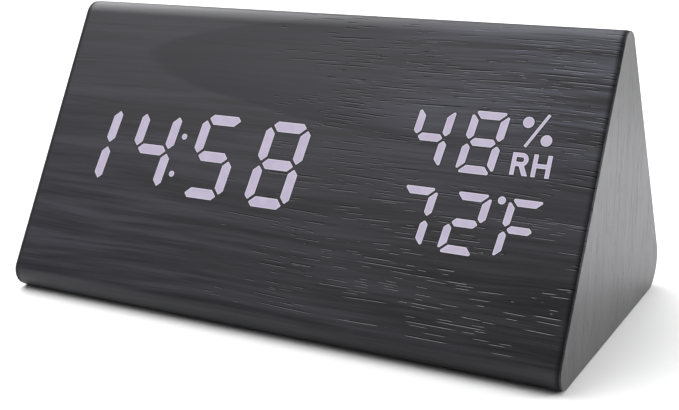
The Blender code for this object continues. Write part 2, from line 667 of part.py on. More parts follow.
def build_display(frames, finishes, beam, wrap):
    """Light guides, housings, display board and the windows for them in the beam and the film."""
    front = frames["front"]
    hours_tens, hours_units, minutes_tens, minutes_units = time_digits()
    colon = colon_marks()
    humidity = climate_digits(HUMIDITY_READING, HUMIDITY_HEIGHT, HUMIDITY_HALF_HEIGHT)
    temperature = climate_digits(TEMPERATURE_READING, TEMPERATURE_HEIGHT, TEMPERATURE_HALF_HEIGHT)
    time_figures = {"hours_tens": hours_tens, "hours_units": hours_units, "colon": colon,
                    "minutes_tens": minutes_tens, "minutes_units": minutes_units}
    climate_figures = {"humidity_tens": humidity[0], "humidity_units": humidity[1],
                       "humidity_legend": humidity_marks(), "temperature_tens": temperature[0],
                       "temperature_units": temperature[1], "temperature_legend": temperature_marks()}
    figures = {**time_figures, **climate_figures}
    for name, figure in figures.items():
        light_guide(f"{name}_guide", figure, front, finishes["light"])
    time_outline = display_housing("time_display_housing", time_figures.values(), front, finishes["black"])
    climate_outline = display_housing("climate_display_housing", climate_figures.values(), front,
                                      finishes["black"])

    windows = bmesh.new()
    for figure in figures.values():
        for loop in figure.lit_loops():
            prism(windows, [grown(loop, WINDOW_CLEARANCE)], -2 * FILM, FILM)
    carve(wrap, "windows", windows, front)
    openings = bmesh.new()
    for outline in (time_outline, climate_outline):
        prism(openings, [grown(outline, CLEARANCE)], -2 * INNER_FACE, SKIN)
    carve(beam, "display_windows", openings, front)

    left, right, bottom, top = bounds_of([time_outline])
    columns_of_screws = (left + DISPLAY_SCREW_INSET, right + DISPLAY_SCREW_INSET)
    rows_of_screws = (bottom - DISPLAY_SCREW_ROOM, top + DISPLAY_SCREW_ROOM)
    spots = [(x, y) for x in columns_of_screws for y in rows_of_screws]
    hole = SCREW_RADIUS + SCREW_HOLE_CLEARANCE
    fixing_room = [circle(x, y, SCREW_HEAD_RADIUS, SMALL_SIDES) for x, y in spots]
    outline = around([time_outline, climate_outline, *fixing_room], 0.0)
    left, right, bottom, top = bounds_of([outline])
    outline = rectangle((left + right) / 2, (bottom + top) / 2, (right - left) / 2 - BOARD_INSET,
                        (top - bottom) / 2)
    holes = [circle(x, y, hole, SMALL_SIDES) for x, y in spots]
    place("display_board", prism(bmesh.new(), [outline, *holes], -BOARD_FACE - BOARD, -BOARD_FACE),
          front, finishes["board"])
    pilots = bmesh.new()
    screw_seat = -BOARD_FACE - BOARD - SEAT
    pilot_end = screw_seat + DISPLAY_SCREW_LENGTH + CLEARANCE
    for number, spot in enumerate(spots, start=1):
        screw(f"display_board_screw_{number}", front, finishes["steel"], spot, screw_seat, -1.0,
              (SCREW_RADIUS, SCREW_HEAD_RADIUS, DISPLAY_SCREW_LENGTH))
        drum(pilots, hole, -2 * INNER_FACE, pilot_end, SMALL_SIDES, spot)
    carve(beam, "display_pilots", pilots, front)


def build_panel(frames, finishes, beam, wrap):
    """Rear panel with its battery tray, door recess, hinge sockets, holes and bosses, and its screws."""
    panel_frame = frames["panel"]
    outline = rounded_rectangle(0.0, 0.0, PANEL_HALF_WIDTH, PANEL_HALF_HEIGHT, PANEL_CORNER,
                                PANEL_CORNER_STEPS)
    screw_spots = [(x * (OPENING_HALF_WIDTH + LEDGE_SIDE / 2), y * PANEL_SCREW_RISE)
                   for x in (-1, 1) for y in (-1, 1)]
    hole = SCREW_RADIUS + SCREW_HOLE_CLEARANCE
    holes = [circle(x, y, hole, SMALL_SIDES) for x, y in screw_spots]
    holes += [circle(x, BUTTON_RISE, BUTTON_RADIUS + CLEARANCE, ROUND_SIDES) for x in button_columns()]
    holes.append(circle(*control_spot(SOCKET_OFFSET), SOCKET_SNOUT_RADIUS + CLEARANCE, ROUND_SIDES))
    holes += sound_holes()
    holes += [rounded_rectangle(*spot, VENT_WIDTH / 2, VENT_HEIGHT / 2, VENT_HEIGHT / 2 - SEAT, 3)
              for spot in vent_spots()]
    panel = place("back_panel", prism(bmesh.new(), [outline, *holes], -PANEL, 0.0), panel_frame,
                  finishes["plastic"])

    additions = bmesh.new()
    bay = (BAY_OFFSET, 0.0)
    block(additions, bay, BAY_LENGTH + 2 * TRAY_WALL, BAY_HEIGHT + 2 * TRAY_WALL, -TRAY_BOTTOM, -PANEL / 2)
    for spot in boss_spots():
        drum(additions, BOSS_RADIUS, -CONTROL_DEPTH + SEAT, -PANEL / 2, ROUND_SIDES, spot)
    join_on(panel, "tray_and_bosses", additions)

    carve(panel, "bay", block(bmesh.new(), bay, BAY_LENGTH, BAY_HEIGHT, -BAY_FLOOR, PANEL))
    socket_reach = DOOR_HALF_LENGTH + HINGE_PIN_LENGTH + SEAT
    sockets = drum(bmesh.new(), HINGE_PIN_RADIUS + HINGE_CLEARANCE, -socket_reach, socket_reach, SMALL_SIDES)
    lie_along(sockets, (BAY_OFFSET, HINGE_HEIGHT, -DOOR / 2))
    carve(panel, "hinge_sockets", sockets)
    scoop_spot = (BAY_OFFSET, DOOR_HALF_HEIGHT - SCOOP_RADIUS / 2)
    scoop = drum(bmesh.new(), SCOOP_RADIUS, -SCOOP_DEPTH, PANEL, ROUND_SIDES, scoop_spot)
    carve(panel, "finger_scoop", scoop)
    slots = bmesh.new()
    for x, y in tab_spots():
        block(slots, (x, y), CONTACT + 2 * SEAT, CONTACT_TAB + 2 * SEAT, -2 * TRAY_BOTTOM, -BAY_FLOOR + SEAT)
    carve(panel, "tab_slots", slots)
    recess = block(bmesh.new(), bay, 2 * (DOOR_HALF_LENGTH + SEAT), 2 * (DOOR_HALF_HEIGHT + SEAT),
                   -DOOR - SEAT, PANEL)
    for spot in screw_spots:
        drum(recess, SCREW_HEAD_RADIUS + CLEARANCE, -HEAD_RECESS, PANEL, SMALL_SIDES, spot)
    for spot in boss_spots():
        drum(recess, SMALL_SCREW_RADIUS + SEAT, -2 * CONTROL_DEPTH, small_screw_tip() + CLEARANCE,
             SMALL_SIDES, spot)
    carve(panel, "recesses", recess)

    for number, spot in enumerate(screw_spots, start=1):
        screw(f"back_panel_screw_{number}", panel_frame, finishes["steel"], spot, -HEAD_RECESS + SEAT, 1.0,
              (SCREW_RADIUS, SCREW_HEAD_RADIUS, PANEL_SCREW_LENGTH))

    seat_outline = grown(outline, CLEARANCE)
    carve(wrap, "panel_opening", prism(bmesh.new(), [seat_outline], -2 * FILM, FILM), panel_frame)
    carve(beam, "panel_seat", prism(bmesh.new(), [seat_outline], -PANEL - SEAT, PANEL), panel_frame)
    through = rounded_rectangle(0.0, 0.0, OPENING_HALF_WIDTH, OPENING_HALF_HEIGHT, PANEL_CORNER / 2)
    carve(beam, "panel_opening", prism(bmesh.new(), [through], -2 * INNER_FACE, PANEL), panel_frame)
    pilots = bmesh.new()
    for spot in screw_spots:
        drum(pilots, hole, -HEAD_RECESS - PANEL_SCREW_LENGTH, PANEL, SMALL_SIDES, spot)
    carve(beam, "panel_pilots", pilots, panel_frame)


def lie_along(mesh, centre):
    """Turns an upright working mesh to lie along the face, and moves it to its place."""
    turn = Matrix.Rotation(math.radians(90.0), 4, "Y")
    bmesh.ops.transform(mesh, matrix=Matrix.Translation(centre) @ turn, verts=mesh.verts)
    return mesh


def build_door(frames, finishes):
    """Battery door: a plate with a round lower edge on two pins, and a latch tongue inside its upper edge."""
    half = DOOR / 2
    height = 2 * DOOR_HALF_HEIGHT - half
    edge = arc(0.0, 0.0, half, 90.0, 270.0, 8)
    profile = edge + [(height, -half), (height, half)]
    mesh = prism(bmesh.new(), [profile], -DOOR_HALF_LENGTH, DOOR_HALF_LENGTH)
    along_panel = Matrix(((0, 0, 1, 0), (1, 0, 0, 0), (0, 1, 0, 0), (0, 0, 0, 1)))
    bmesh.ops.transform(mesh, matrix=along_panel, verts=mesh.verts)
    door = place("battery_door", mesh, frames["panel"], finishes["plastic"],
                 (BAY_OFFSET, HINGE_HEIGHT, -half))
    extras = bmesh.new()
    for sign in (-1.0, 1.0):
        middle = sign * DOOR_HALF_LENGTH
        drum(extras, HINGE_PIN_RADIUS, middle - HINGE_PIN_LENGTH, middle + HINGE_PIN_LENGTH, SMALL_SIDES)
    lie_along(extras, (0.0, 0.0, 0.0))
    latch_middle = BAY_HEIGHT / 2 - HINGE_HEIGHT - CLEARANCE - LATCH / 2
    block(extras, (0.0, latch_middle), LATCH_WIDTH, LATCH, -half - LATCH_DEPTH, 0.0)
    join_on(door, "pins_and_latch", extras)


def cell_rows():
    """Heights of the cells on the panel, lowest first."""
    return [CELL_PITCH * (k - (CELL_COUNT - 1) / 2) for k in range(CELL_COUNT)]


def contact_spots():
    """Places of the left and right contacts along the tray."""
    reach = BAY_LENGTH / 2 - SEAT - CONTACT / 2
    return BAY_OFFSET - reach, BAY_OFFSET + reach


def tab_spots():
    """Places of the two solder tabs: lowest cell on the left, highest on the right."""
    left, right = contact_spots()
    return (left, cell_rows()[0]), (right, cell_rows()[-1])


def contact(name, parent, material, x, rows, has_tab):
    """Upright contact strip at one end of the tray, across one cell or two."""
    low, high = min(rows) - CONTACT_HEIGHT / 2, max(rows) + CONTACT_HEIGHT / 2
    top, bottom = -CELL_DEPTH + CONTACT_HEIGHT / 2, -BAY_FLOOR + SEAT
    mesh = block(bmesh.new(), (x, (low + high) / 2), CONTACT, high - low, bottom, top)
    item = place(name, mesh, parent, material)
    if has_tab:
        tab = block(bmesh.new(), (x, rows[0]), CONTACT, CONTACT_TAB, -TRAY_BOTTOM - CONTACT_TAB_REACH,
                    -CELL_DEPTH)
        join_on(item, "tab", tab)


def coil_points(x, y, direction):
    """Cone-shaped coil from a contact to a cell, straight for a wire's width at each end."""
    points_in_turn = 8
    count = SPRING_TURNS * points_in_turn
    length = SPRING_LENGTH - 2 * SPRING_WIRE
    coil = []
    for k in range(count + 1):
        share = k / count
        angle = 2 * math.pi * k / points_in_turn
        radius = SPRING_WIDE_RADIUS + (SPRING_NARROW_RADIUS - SPRING_WIDE_RADIUS) * share
        coil.append(Vector((x + direction * (SPRING_WIRE + length * share),
                            y + radius * math.cos(angle), -CELL_DEPTH + radius * math.sin(angle))))
    stub = Vector((direction * SPRING_WIRE, 0.0, 0.0))
    return [coil[0] - stub, *coil, coil[-1] + stub]


def least_gap(points, wire):
    """Smallest gap between parts of a coil that lie more than half a turn apart."""
    apart = 5
    pairs = [(k, j) for k in range(len(points)) for j in range(k + apart, len(points))]
    return min((points[j] - points[k]).length for k, j in pairs) - wire


def tube(name, points, diameter, parent, material, rounds):
    """Round wire along a list of points, with closed ends."""
    curve = bpy.data.curves.new(name, "CURVE")
    curve.dimensions = "3D"
    curve.bevel_depth = diameter / 2
    curve.bevel_resolution = rounds
    curve.use_fill_caps = True
    spline = curve.splines.new("POLY")
    spline.points.add(len(points) - 1)
    for spot, point in zip(spline.points, points):
        spot.co = (*point, 1.0)
    curve.materials.append(material)
    item = bpy.data.objects.new(name, curve)
    bpy.context.scene.collection.objects.link(item)
    item.parent = parent


def smooth_route(stops, steps):
    """Points on a smooth curve through hand-chosen stops (a Catmull-Rom curve)."""
    stops = [Vector(stop) for stop in stops]
    padded = [2 * stops[0] - stops[1], *stops, 2 * stops[-1] - stops[-2]]
    route = []
    for p0, p1, p2, p3 in zip(padded, padded[1:], padded[2:], padded[3:]):
        for k in range(steps):
            t = k / steps
            route.append(0.5 * (2 * p1 + (p2 - p0) * t + (2 * p0 - 5 * p1 + 4 * p2 - p3) * t * t
                                + (3 * p1 - p0 - 3 * p2 + p3) * t ** 3))
    return [*route, stops[-1]]


def build_batteries(frames, finishes):
    """Three cells in series, end to end about, with their springs, contacts and wires."""
    panel_frame = frames["panel"]
    left, right = contact_spots()
    left_face, right_face = left + CONTACT / 2, right - CONTACT / 2
    can = CELL_LENGTH - CELL_NUB
    profile = [(0.0, 0.0), (CELL_RADIUS - CELL_RIM, 0.0), (CELL_RADIUS, CELL_RIM),
               (CELL_RADIUS, can - CELL_RIM), (CELL_RADIUS - CELL_RIM, can), (CELL_NUB_RADIUS, can),
               (CELL_NUB_RADIUS, CELL_LENGTH), (0.0, CELL_LENGTH)]
    for number, row in enumerate(cell_rows(), start=1):
        points_right = number % 2 == 1
        direction = 1.0 if points_right else -1.0
        spring_seat = left_face + SEAT if points_right else right_face - SEAT
        start = spring_seat + direction * (SPRING_LENGTH + SEAT)
        mesh = turned(bmesh.new(), profile, ROUND_SIDES)
        turn = Matrix.Rotation(math.radians(90.0 * direction), 4, "Y")
        shift = Matrix.Translation((start, row, -CELL_DEPTH))
        bmesh.ops.transform(mesh, matrix=shift @ turn, verts=mesh.verts)
        smooth(place(f"battery_cell_{number}", mesh, panel_frame, finishes["cell"]))
        coil = coil_points(spring_seat, row, direction)
        tube(f"battery_spring_{number}", coil, SPRING_WIRE, panel_frame, finishes["steel"], 1)
        gap = least_gap(coil, SPRING_WIRE) * 1000
        print(f"battery_spring_{number}: least gap between turns {gap:.2f} mm")
    rows = cell_rows()
    contact("battery_contact_negative", panel_frame, finishes["steel"], left, rows[:1], True)
    contact("battery_bridge_left", panel_frame, finishes["steel"], left, rows[1:], False)
    contact("battery_bridge_right", panel_frame, finishes["steel"], right, rows[:2], False)
    contact("battery_contact_positive", panel_frame, finishes["steel"], right, rows[2:], True)

    tab_end = -TRAY_BOTTOM - CONTACT_TAB_REACH
    wire_depth = tab_end - CLEARANCE - WIRE / 2
    board_back = -CONTROL_DEPTH - BOARD - CLEARANCE
    board_edge = CONTROL_OFFSET + CONTROL_WIDTH / 2
    wires = (("negative", tab_spots()[0], NEGATIVE_LANDING), ("positive", tab_spots()[1], POSITIVE_LANDING))
    for name, (x, y), inset in wires:
        landing = board_edge - inset
        stops = [(x, y, wire_depth), (x - WIRE_LEAD, y, wire_depth - WIRE_SAG),
                 (landing + WIRE_TURN, y, wire_depth), (landing + WIRE_RISE, y, board_back - WIRE_DROP),
                 (landing, y, board_back)]
        tube(f"battery_wire_{name}", smooth_route(stops, 5), WIRE, panel_frame, finishes[f"wire_{name}"], 2)


def button_columns():
    return [CONTROL_OFFSET + BUTTON_PITCH * k for k in (-1, 0, 1)]


def control_spot(offset):
    return CONTROL_OFFSET + offset[0], offset[1]


def boss_spots():
    return [(CONTROL_OFFSET + sign * BOSS_OFFSET, BOSS_RISE) for sign in (-1, 1)]


def sound_holes():
    x, y = control_spot(BUZZER_OFFSET)
    ring = circle(x, y, SOUND_HOLE_CIRCLE, SOUND_HOLE_COUNT)
    return [circle(*spot, SOUND_HOLE_RADIUS, 10) for spot in [(x, y), *ring]]


def vent_spots():
    x, y = control_spot(SENSOR_OFFSET)
    return [(x, y + VENT_PITCH * (k - (VENT_COUNT - 1) / 2)) for k in range(VENT_COUNT)]


def small_screw_tip():
    return -CONTROL_DEPTH - BOARD - SEAT + SMALL_SCREW_LENGTH


def build_controls(frames, finishes):
    """Control board with its parts, the buttons over their switches, and the power inlet."""
    panel_frame = frames["panel"]
    floor = -CONTROL_DEPTH + SEAT
    hole = SMALL_SCREW_RADIUS + SEAT
    holes = [circle(x, y, hole, SMALL_SIDES) for x, y in boss_spots()]
    outline = rectangle(CONTROL_OFFSET, 0.0, CONTROL_WIDTH / 2, CONTROL_HEIGHT / 2)
    place("control_board", prism(bmesh.new(), [outline, *holes], -CONTROL_DEPTH - BOARD, -CONTROL_DEPTH),
          panel_frame, finishes["board"])
    for number, spot in enumerate(boss_spots(), start=1):
        screw(f"control_board_screw_{number}", panel_frame, finishes["steel"], spot,
              -CONTROL_DEPTH - BOARD - SEAT, -1.0,
              (SMALL_SCREW_RADIUS, SMALL_SCREW_HEAD_RADIUS, SMALL_SCREW_LENGTH))

    switch_top = floor + SWITCH_HEIGHT
    flange_top = -PANEL - CLEARANCE
    stem_end = switch_top - STEM_REACH
    button_profile = [(0.0, stem_end), (BUTTON_STEM_RADIUS, stem_end),
                      (BUTTON_STEM_RADIUS, flange_top - BUTTON_FLANGE),
                      (BUTTON_FLANGE_RADIUS, flange_top - BUTTON_FLANGE), (BUTTON_FLANGE_RADIUS, flange_top),
                      (BUTTON_RADIUS, flange_top), (BUTTON_RADIUS, BUTTON_PROUD - BUTTON_EDGE),
                      (BUTTON_RADIUS - BUTTON_EDGE, BUTTON_PROUD), (0.0, BUTTON_PROUD)]
    for name, x in zip(("set", "up", "down"), button_columns()):
        button = place(f"button_{name}", turned(bmesh.new(), button_profile, ROUND_SIDES), panel_frame,
                       finishes["plastic"], (x, BUTTON_RISE, 0.0))
        smooth(button)
        case = block(bmesh.new(), (x, BUTTON_RISE), SWITCH_WIDTH, SWITCH_WIDTH, floor, switch_top)
        switch = place(f"switch_{name}", case, panel_frame, finishes["black"])
        well = drum(bmesh.new(), BUTTON_STEM_RADIUS + CLEARANCE, switch_top - SWITCH_WELL, switch_top + SEAT,
                    SMALL_SIDES, (x, BUTTON_RISE))
        carve(switch, "well", well)

    spot = control_spot(SOCKET_OFFSET)
    cover = -PANEL - CLEARANCE
    inlet = place("power_socket", block(bmesh.new(), spot, SOCKET_WIDTH, SOCKET_WIDTH, floor, cover),
                  panel_frame, finishes["black"])
    snout = drum(bmesh.new(), SOCKET_SNOUT_RADIUS, (floor + cover) / 2, -SOCKET_RECESS, ROUND_SIDES, spot)
    join_on(inlet, "snout", snout)
    carve(inlet, "bore", drum(bmesh.new(), SOCKET_BORE_RADIUS, -SOCKET_BORE_DEPTH, PANEL, ROUND_SIDES, spot))
    pin_base = -SOCKET_BORE_DEPTH + SEAT
    place("power_pin", drum(bmesh.new(), SOCKET_PIN_RADIUS, pin_base, -SOCKET_BORE_RADIUS, SMALL_SIDES, spot),
          panel_frame, finishes["steel"])

    spot = control_spot(BUZZER_OFFSET)
    buzzer = place("buzzer", drum(bmesh.new(), BUZZER_RADIUS, floor, cover, ROUND_SIDES, spot), panel_frame,
                   finishes["black"])
    sound_hole = drum(bmesh.new(), BUZZER_HOLE_RADIUS, (floor + cover) / 2, 0.0, SMALL_SIDES, spot)
    carve(buzzer, "sound_hole", sound_hole)

    spot = control_spot(SENSOR_OFFSET)
    sensor = place("climate_sensor", block(bmesh.new(), spot, SENSOR_WIDTH, SENSOR_HEIGHT, floor, cover),
                   panel_frame, finishes["white"])
    grille = bmesh.new()
    for vent in vent_spots():
        block(grille, vent, SENSOR_WIDTH - 2 * TRAY_WALL, VENT_HEIGHT, cover - GRILLE_DEPTH, 0.0)
    carve(sensor, "grille", grille)

    chip = block(bmesh.new(), control_spot((0.0, CHIP_RISE)), CHIP_WIDTH, CHIP_WIDTH, floor, floor + CHIP)
    place("controller_chip", chip, panel_frame, finishes["black"])
    crystal = drum(bmesh.new(), CRYSTAL_RADIUS, -CRYSTAL_LENGTH / 2, CRYSTAL_LENGTH / 2, SMALL_SIDES)
    lie_along(crystal, (CONTROL_OFFSET + CRYSTAL_OFFSET, CHIP_RISE, floor + CRYSTAL_RADIUS))
    place("quartz_crystal", crystal, panel_frame, finishes["steel"])


def build_ribbon(frames, finishes):
    """Flat cable between the backs of the two boards, on a curve that leaves each board squarely."""
    panel_rise = SIDE / 2 - PANEL_DROP
    start = front_point(SIDE / 2 + RIBBON_FRONT_RISE, BOARD_FACE + BOARD + CLEARANCE)
    end = back_point(panel_rise + RIBBON_BACK_RISE, CONTROL_DEPTH + BOARD + CLEARANCE)
    start_pull = start + RIBBON_BULGE * Vector((ROOT3 / 2, -0.5))
    end_pull = end + RIBBON_BULGE * Vector((-ROOT3 / 2, -0.5))
    steps = 14
    upper, lower = [], []
    for k in range(steps + 1):
        t = k / steps
        s = 1.0 - t
        point = s ** 3 * start + 3 * s * s * t * start_pull + 3 * s * t * t * end_pull + t ** 3 * end
        slope = s * s * (start_pull - start) + 2 * s * t * (end_pull - start_pull) + t * t * (end - end_pull)
        across = Vector((-slope.y, slope.x)).normalized() * RIBBON / 2
        upper.append(tuple(point + across))
        lower.append(tuple(point - across))
    left, right = -CONTROL_OFFSET - RIBBON_WIDTH / 2, -CONTROL_OFFSET + RIBBON_WIDTH / 2
    place("ribbon_cable", prism(bmesh.new(), [lower + upper[::-1]], left, right),
          frames["section"], finishes["ribbon"])


def main():
    clear_scene()
    finishes = {
        "film": finish("wood_grain_film", (0.055, 0.055, 0.060), 0.50),
        "fibreboard": finish("fibreboard", (0.35, 0.24, 0.14), 0.90),
        "light": finish("lit_resin", (0.62, 0.55, 0.72), 0.40),
        "black": finish("black_plastic", (0.020, 0.020, 0.022), 0.50),
        "plastic": finish("panel_plastic", (0.030, 0.030, 0.033), 0.55),
        "white": finish("sensor_plastic", (0.75, 0.77, 0.78), 0.50),
        "board": finish("circuit_board", (0.03, 0.16, 0.06), 0.45),
        "steel": finish("plated_steel", (0.65, 0.65, 0.63), 0.30, 1.0),
        "cell": finish("cell_sleeve", (0.10, 0.10, 0.11), 0.40),
        "ribbon": finish("ribbon_grey", (0.45, 0.45, 0.46), 0.60),
        "wire_negative": finish("black_wire", (0.02, 0.02, 0.02), 0.55),
        "wire_positive": finish("red_wire", (0.50, 0.03, 0.03), 0.55),
    }
    shift = Vector((0.0, CENTRE_SHIFT, 0.0))
    half = Vector((0.0, SIDE / 2, 0.0))
    front = columns((1, 0, 0), (0, 0.5, ROOT3 / 2), (0, -ROOT3 / 2, 0.5), shift - half)
    back = frame("rear_face", columns((-1, 0, 0), (0, -0.5, ROOT3 / 2), (0, ROOT3 / 2, 0.5), shift + half))
    frames = {
        "section": frame("body_section", columns((0, 1, 0), (0, 0, 1), (1, 0, 0), shift)),
        "front": frame("front_face", front),
        "panel": frame("panel_middle", Matrix.Translation((0.0, SIDE / 2 - PANEL_DROP, 0.0)), back),
    }
    beam, wrap = build_body(frames, finishes)
    build_display(frames, finishes, beam, wrap)
    build_panel(frames, finishes, beam, wrap)
    build_door(frames, finishes)
    build_batteries(frames, finishes)
    build_controls(frames, finishes)
    build_ribbon(frames, finishes)


main()
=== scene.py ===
"""Looks of the triangular desk clock: fine surfaces, finishes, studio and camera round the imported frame."""

import math

import bmesh
import bpy
import numpy as np
from mathutils import Matrix, Vector


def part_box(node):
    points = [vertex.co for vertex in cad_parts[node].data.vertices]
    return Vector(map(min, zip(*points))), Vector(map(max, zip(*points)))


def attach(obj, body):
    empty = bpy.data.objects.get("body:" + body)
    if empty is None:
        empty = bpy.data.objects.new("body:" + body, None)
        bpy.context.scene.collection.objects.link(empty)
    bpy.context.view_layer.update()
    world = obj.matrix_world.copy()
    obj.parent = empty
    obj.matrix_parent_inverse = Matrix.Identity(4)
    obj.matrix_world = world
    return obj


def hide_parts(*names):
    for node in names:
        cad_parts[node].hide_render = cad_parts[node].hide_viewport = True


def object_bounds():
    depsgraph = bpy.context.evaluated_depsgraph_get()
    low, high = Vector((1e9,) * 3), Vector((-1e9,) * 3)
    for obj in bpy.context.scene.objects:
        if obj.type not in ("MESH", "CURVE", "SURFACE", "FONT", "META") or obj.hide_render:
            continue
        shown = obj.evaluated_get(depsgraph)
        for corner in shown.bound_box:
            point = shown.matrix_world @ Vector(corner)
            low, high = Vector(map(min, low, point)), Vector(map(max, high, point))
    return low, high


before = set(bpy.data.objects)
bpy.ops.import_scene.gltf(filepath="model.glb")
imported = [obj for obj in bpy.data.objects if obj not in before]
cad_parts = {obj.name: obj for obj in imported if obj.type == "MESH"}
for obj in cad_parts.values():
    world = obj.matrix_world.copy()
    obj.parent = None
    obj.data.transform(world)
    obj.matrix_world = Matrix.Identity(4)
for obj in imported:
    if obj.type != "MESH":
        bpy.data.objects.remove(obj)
cad_low, cad_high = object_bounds()

MM = 0.001
ROOT3 = math.sqrt(3.0)
WELD = 1e-8

# Case
TOP_RADIUS = 4.7 * MM
FRONT_RADIUS = 4.7 * MM
BACK_RADIUS = 7.0 * MM
FILM = 0.4 * MM
GLUE = 0.02 * MM                # gap between the wrap and an end film
FILM_EDGE = 0.22 * MM           # rounding of the film's cut edges
WRAP_EASE = 1.3 * MM            # where the wrap falls away to its ends: length and depth
WRAP_FALL = 0.18 * MM
END_FALL = WRAP_FALL * 0.7      # end films inside the wrap
ARC_STEPS = 24
EASE_STEPS = 10
RUN_SHARES = np.array([0.004, 0.1, 0.25, 0.5, 0.75, 0.9, 0.996])
FACE_SHARES = np.array([0.75, 0.5, 0.25, 0.0])
GRAIN_UNIT = 0.1                # metres in one unit of the grain map
LENGTH = cad_high.x - cad_low.x
SIDE = (cad_high.z + TOP_RADIUS) * 2 / ROOT3
SHIFT = (BACK_RADIUS - FRONT_RADIUS) * (ROOT3 - 1) / 2
INRADIUS = SIDE / (2 * ROOT3)
WRAP_END = LENGTH / 2 - FILM - GLUE
FRONT_TOP = SIDE - ROOT3 * TOP_RADIUS
CREST = FRONT_TOP / MM          # where the front turns over to the top, up the grain map

# Rear panel, from the frame
PANEL_DROP = 5.0 * MM
PANEL_MIDDLE = SIDE / 2 - PANEL_DROP
PANEL_CORNER = 4.0 * MM
PANEL_ROOM = 0.3 * MM           # film past the panel
RING_MARGIN = 2.0 * MM          # ring of film past its opening
RING_STEPS = (60, 12)
PANEL_HALF_WIDTH = (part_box("back_panel")[1].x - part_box("back_panel")[0].x) / 2
PANEL_HALF_HEIGHT = 21.75 * MM

# Display
TIME_START = -60.33 * MM
TIME_PITCH = 18.91 * MM
TIME_HEIGHT = 43.22 * MM
COLON_PLACE = -32.9 * MM
COLON_HEIGHT = 42.6 * MM
COLON_HALF_GAP = 5.0 * MM
COLON_RADIUS = 0.83 * MM
CLIMATE_START = 34.1 * MM
CLIMATE_PITCH = 13.0 * MM
HUMIDITY_HEIGHT = 54.24 * MM
HUMIDITY_SHIFT = 0.22 * MM
TEMPERATURE_HEIGHT = 35.3 * MM
UNIT_PLACE = 59.9 * MM
DEGREE_OFFSET = (-5.3 * MM, 6.3 * MM)
DEGREE_RADIUS = 0.95 * MM
LEGEND_PLACE = (59.5 * MM, 55.0 * MM)
SLASH_LOW = (-2.3 * MM, -0.72 * MM)
SLASH_HIGH = (2.05 * MM, 7.15 * MM)
SLASH_WIDTH = 0.80 * MM
PERCENT_DOTS = ((-2.5 * MM, 5.0 * MM), (2.36 * MM, 1.15 * MM))
PERCENT_DOT_RADIUS = 1.35 * MM
LETTER_HEIGHT = 5.3 * MM
LETTER_WIDTH = 4.3 * MM
LETTER_STROKE = 1.1 * MM
LETTER_GAP = 0.6 * MM
LETTER_BASE = -7.4 * MM
BOWL_RADIUS = 1.6 * MM
BOWL_INSET = 0.42 * MM
LEG_SHIFT = 0.7 * MM
LEG_WIDTH = LETTER_STROKE * 1.25
SHARP_CORNER = 0.02 * MM        # least rounding of an outline
BAR_INSET = 0.05 * MM           # lit bars inside the outlines of their figures
LETTER_CORNER = 0.15 * MM
LIT_RISE = 0.020 * MM           # lit bars over the face of the film
LIT_ROOT = -0.30 * MM
RIM = 0.22 * MM                 # paler edge of a lit bar
SURROUND = 0.26 * MM            # darker edge of the film round a lit bar
SURROUND_RISE = 0.006 * MM
LIT_BARS = {"1": "bc", "2": "abged", "4": "fgbc", "5": "afgcd", "7": "abc", "8": "abcdefg", "F": "afge"}
BAR_ENDS = {                    # start, end, outside, and which of the ends is an outer corner
    "a": ((-1, 1), (1, 1), (0, 1), 1, 1),
    "b": ((1, 0), (1, 1), (1, 0), 0, 1),
    "c": ((1, 0), (1, -1), (1, 0), 0, 1),
    "d": ((-1, -1), (1, -1), (0, -1), 1, 1),
    "e": ((-1, 0), (-1, -1), (-1, 0), 0, 1),
    "f": ((-1, 0), (-1, 1), (-1, 0), 0, 1),
    "g": ((-1, 0), (1, 0), (0, 1), 0, 0),
}
# Styles of the digits: the three corners are the rounding of the tips, inside and outside of a bar
TIME_STYLE = {"half": (4.96 * MM, 9.66 * MM), "stroke": 2.7 * MM, "lean": 0.10, "gap": 0.52 * MM,
              "rise": 0.26 * MM, "corners": (0.30 * MM, 0.34 * MM, 0.22 * MM)}
HUMIDITY_STYLE = {"half": (3.6 * MM, 6.48 * MM), "stroke": 1.95 * MM, "lean": 0.115, "gap": 0.41 * MM,
                  "rise": 0.56 * MM, "corners": (0.40 * MM, 0.42 * MM, 0.24 * MM)}
TEMPERATURE_STYLE = {**HUMIDITY_STYLE, "half": (3.6 * MM, 6.22 * MM)}
UNIT_STYLE = {**TEMPERATURE_STYLE, "half": (3.42 * MM, 6.22 * MM), "stroke": 1.76 * MM, "rise": 0.5 * MM}
# Insets, heights and rim masks of the rings of a lit bar, and of the darker film round it
LIT_LEVELS = ((BAR_INSET, LIT_ROOT, 1.0), (BAR_INSET, LIT_RISE * 0.5, 1.0),
              (BAR_INSET + LIT_RISE, LIT_RISE, 1.0), (BAR_INSET + RIM, LIT_RISE, 0.0))
SURROUND_LEVELS = ((BAR_INSET - SURROUND, LIT_ROOT, 0.0), (BAR_INSET - SURROUND, SURROUND_RISE, 0.0))

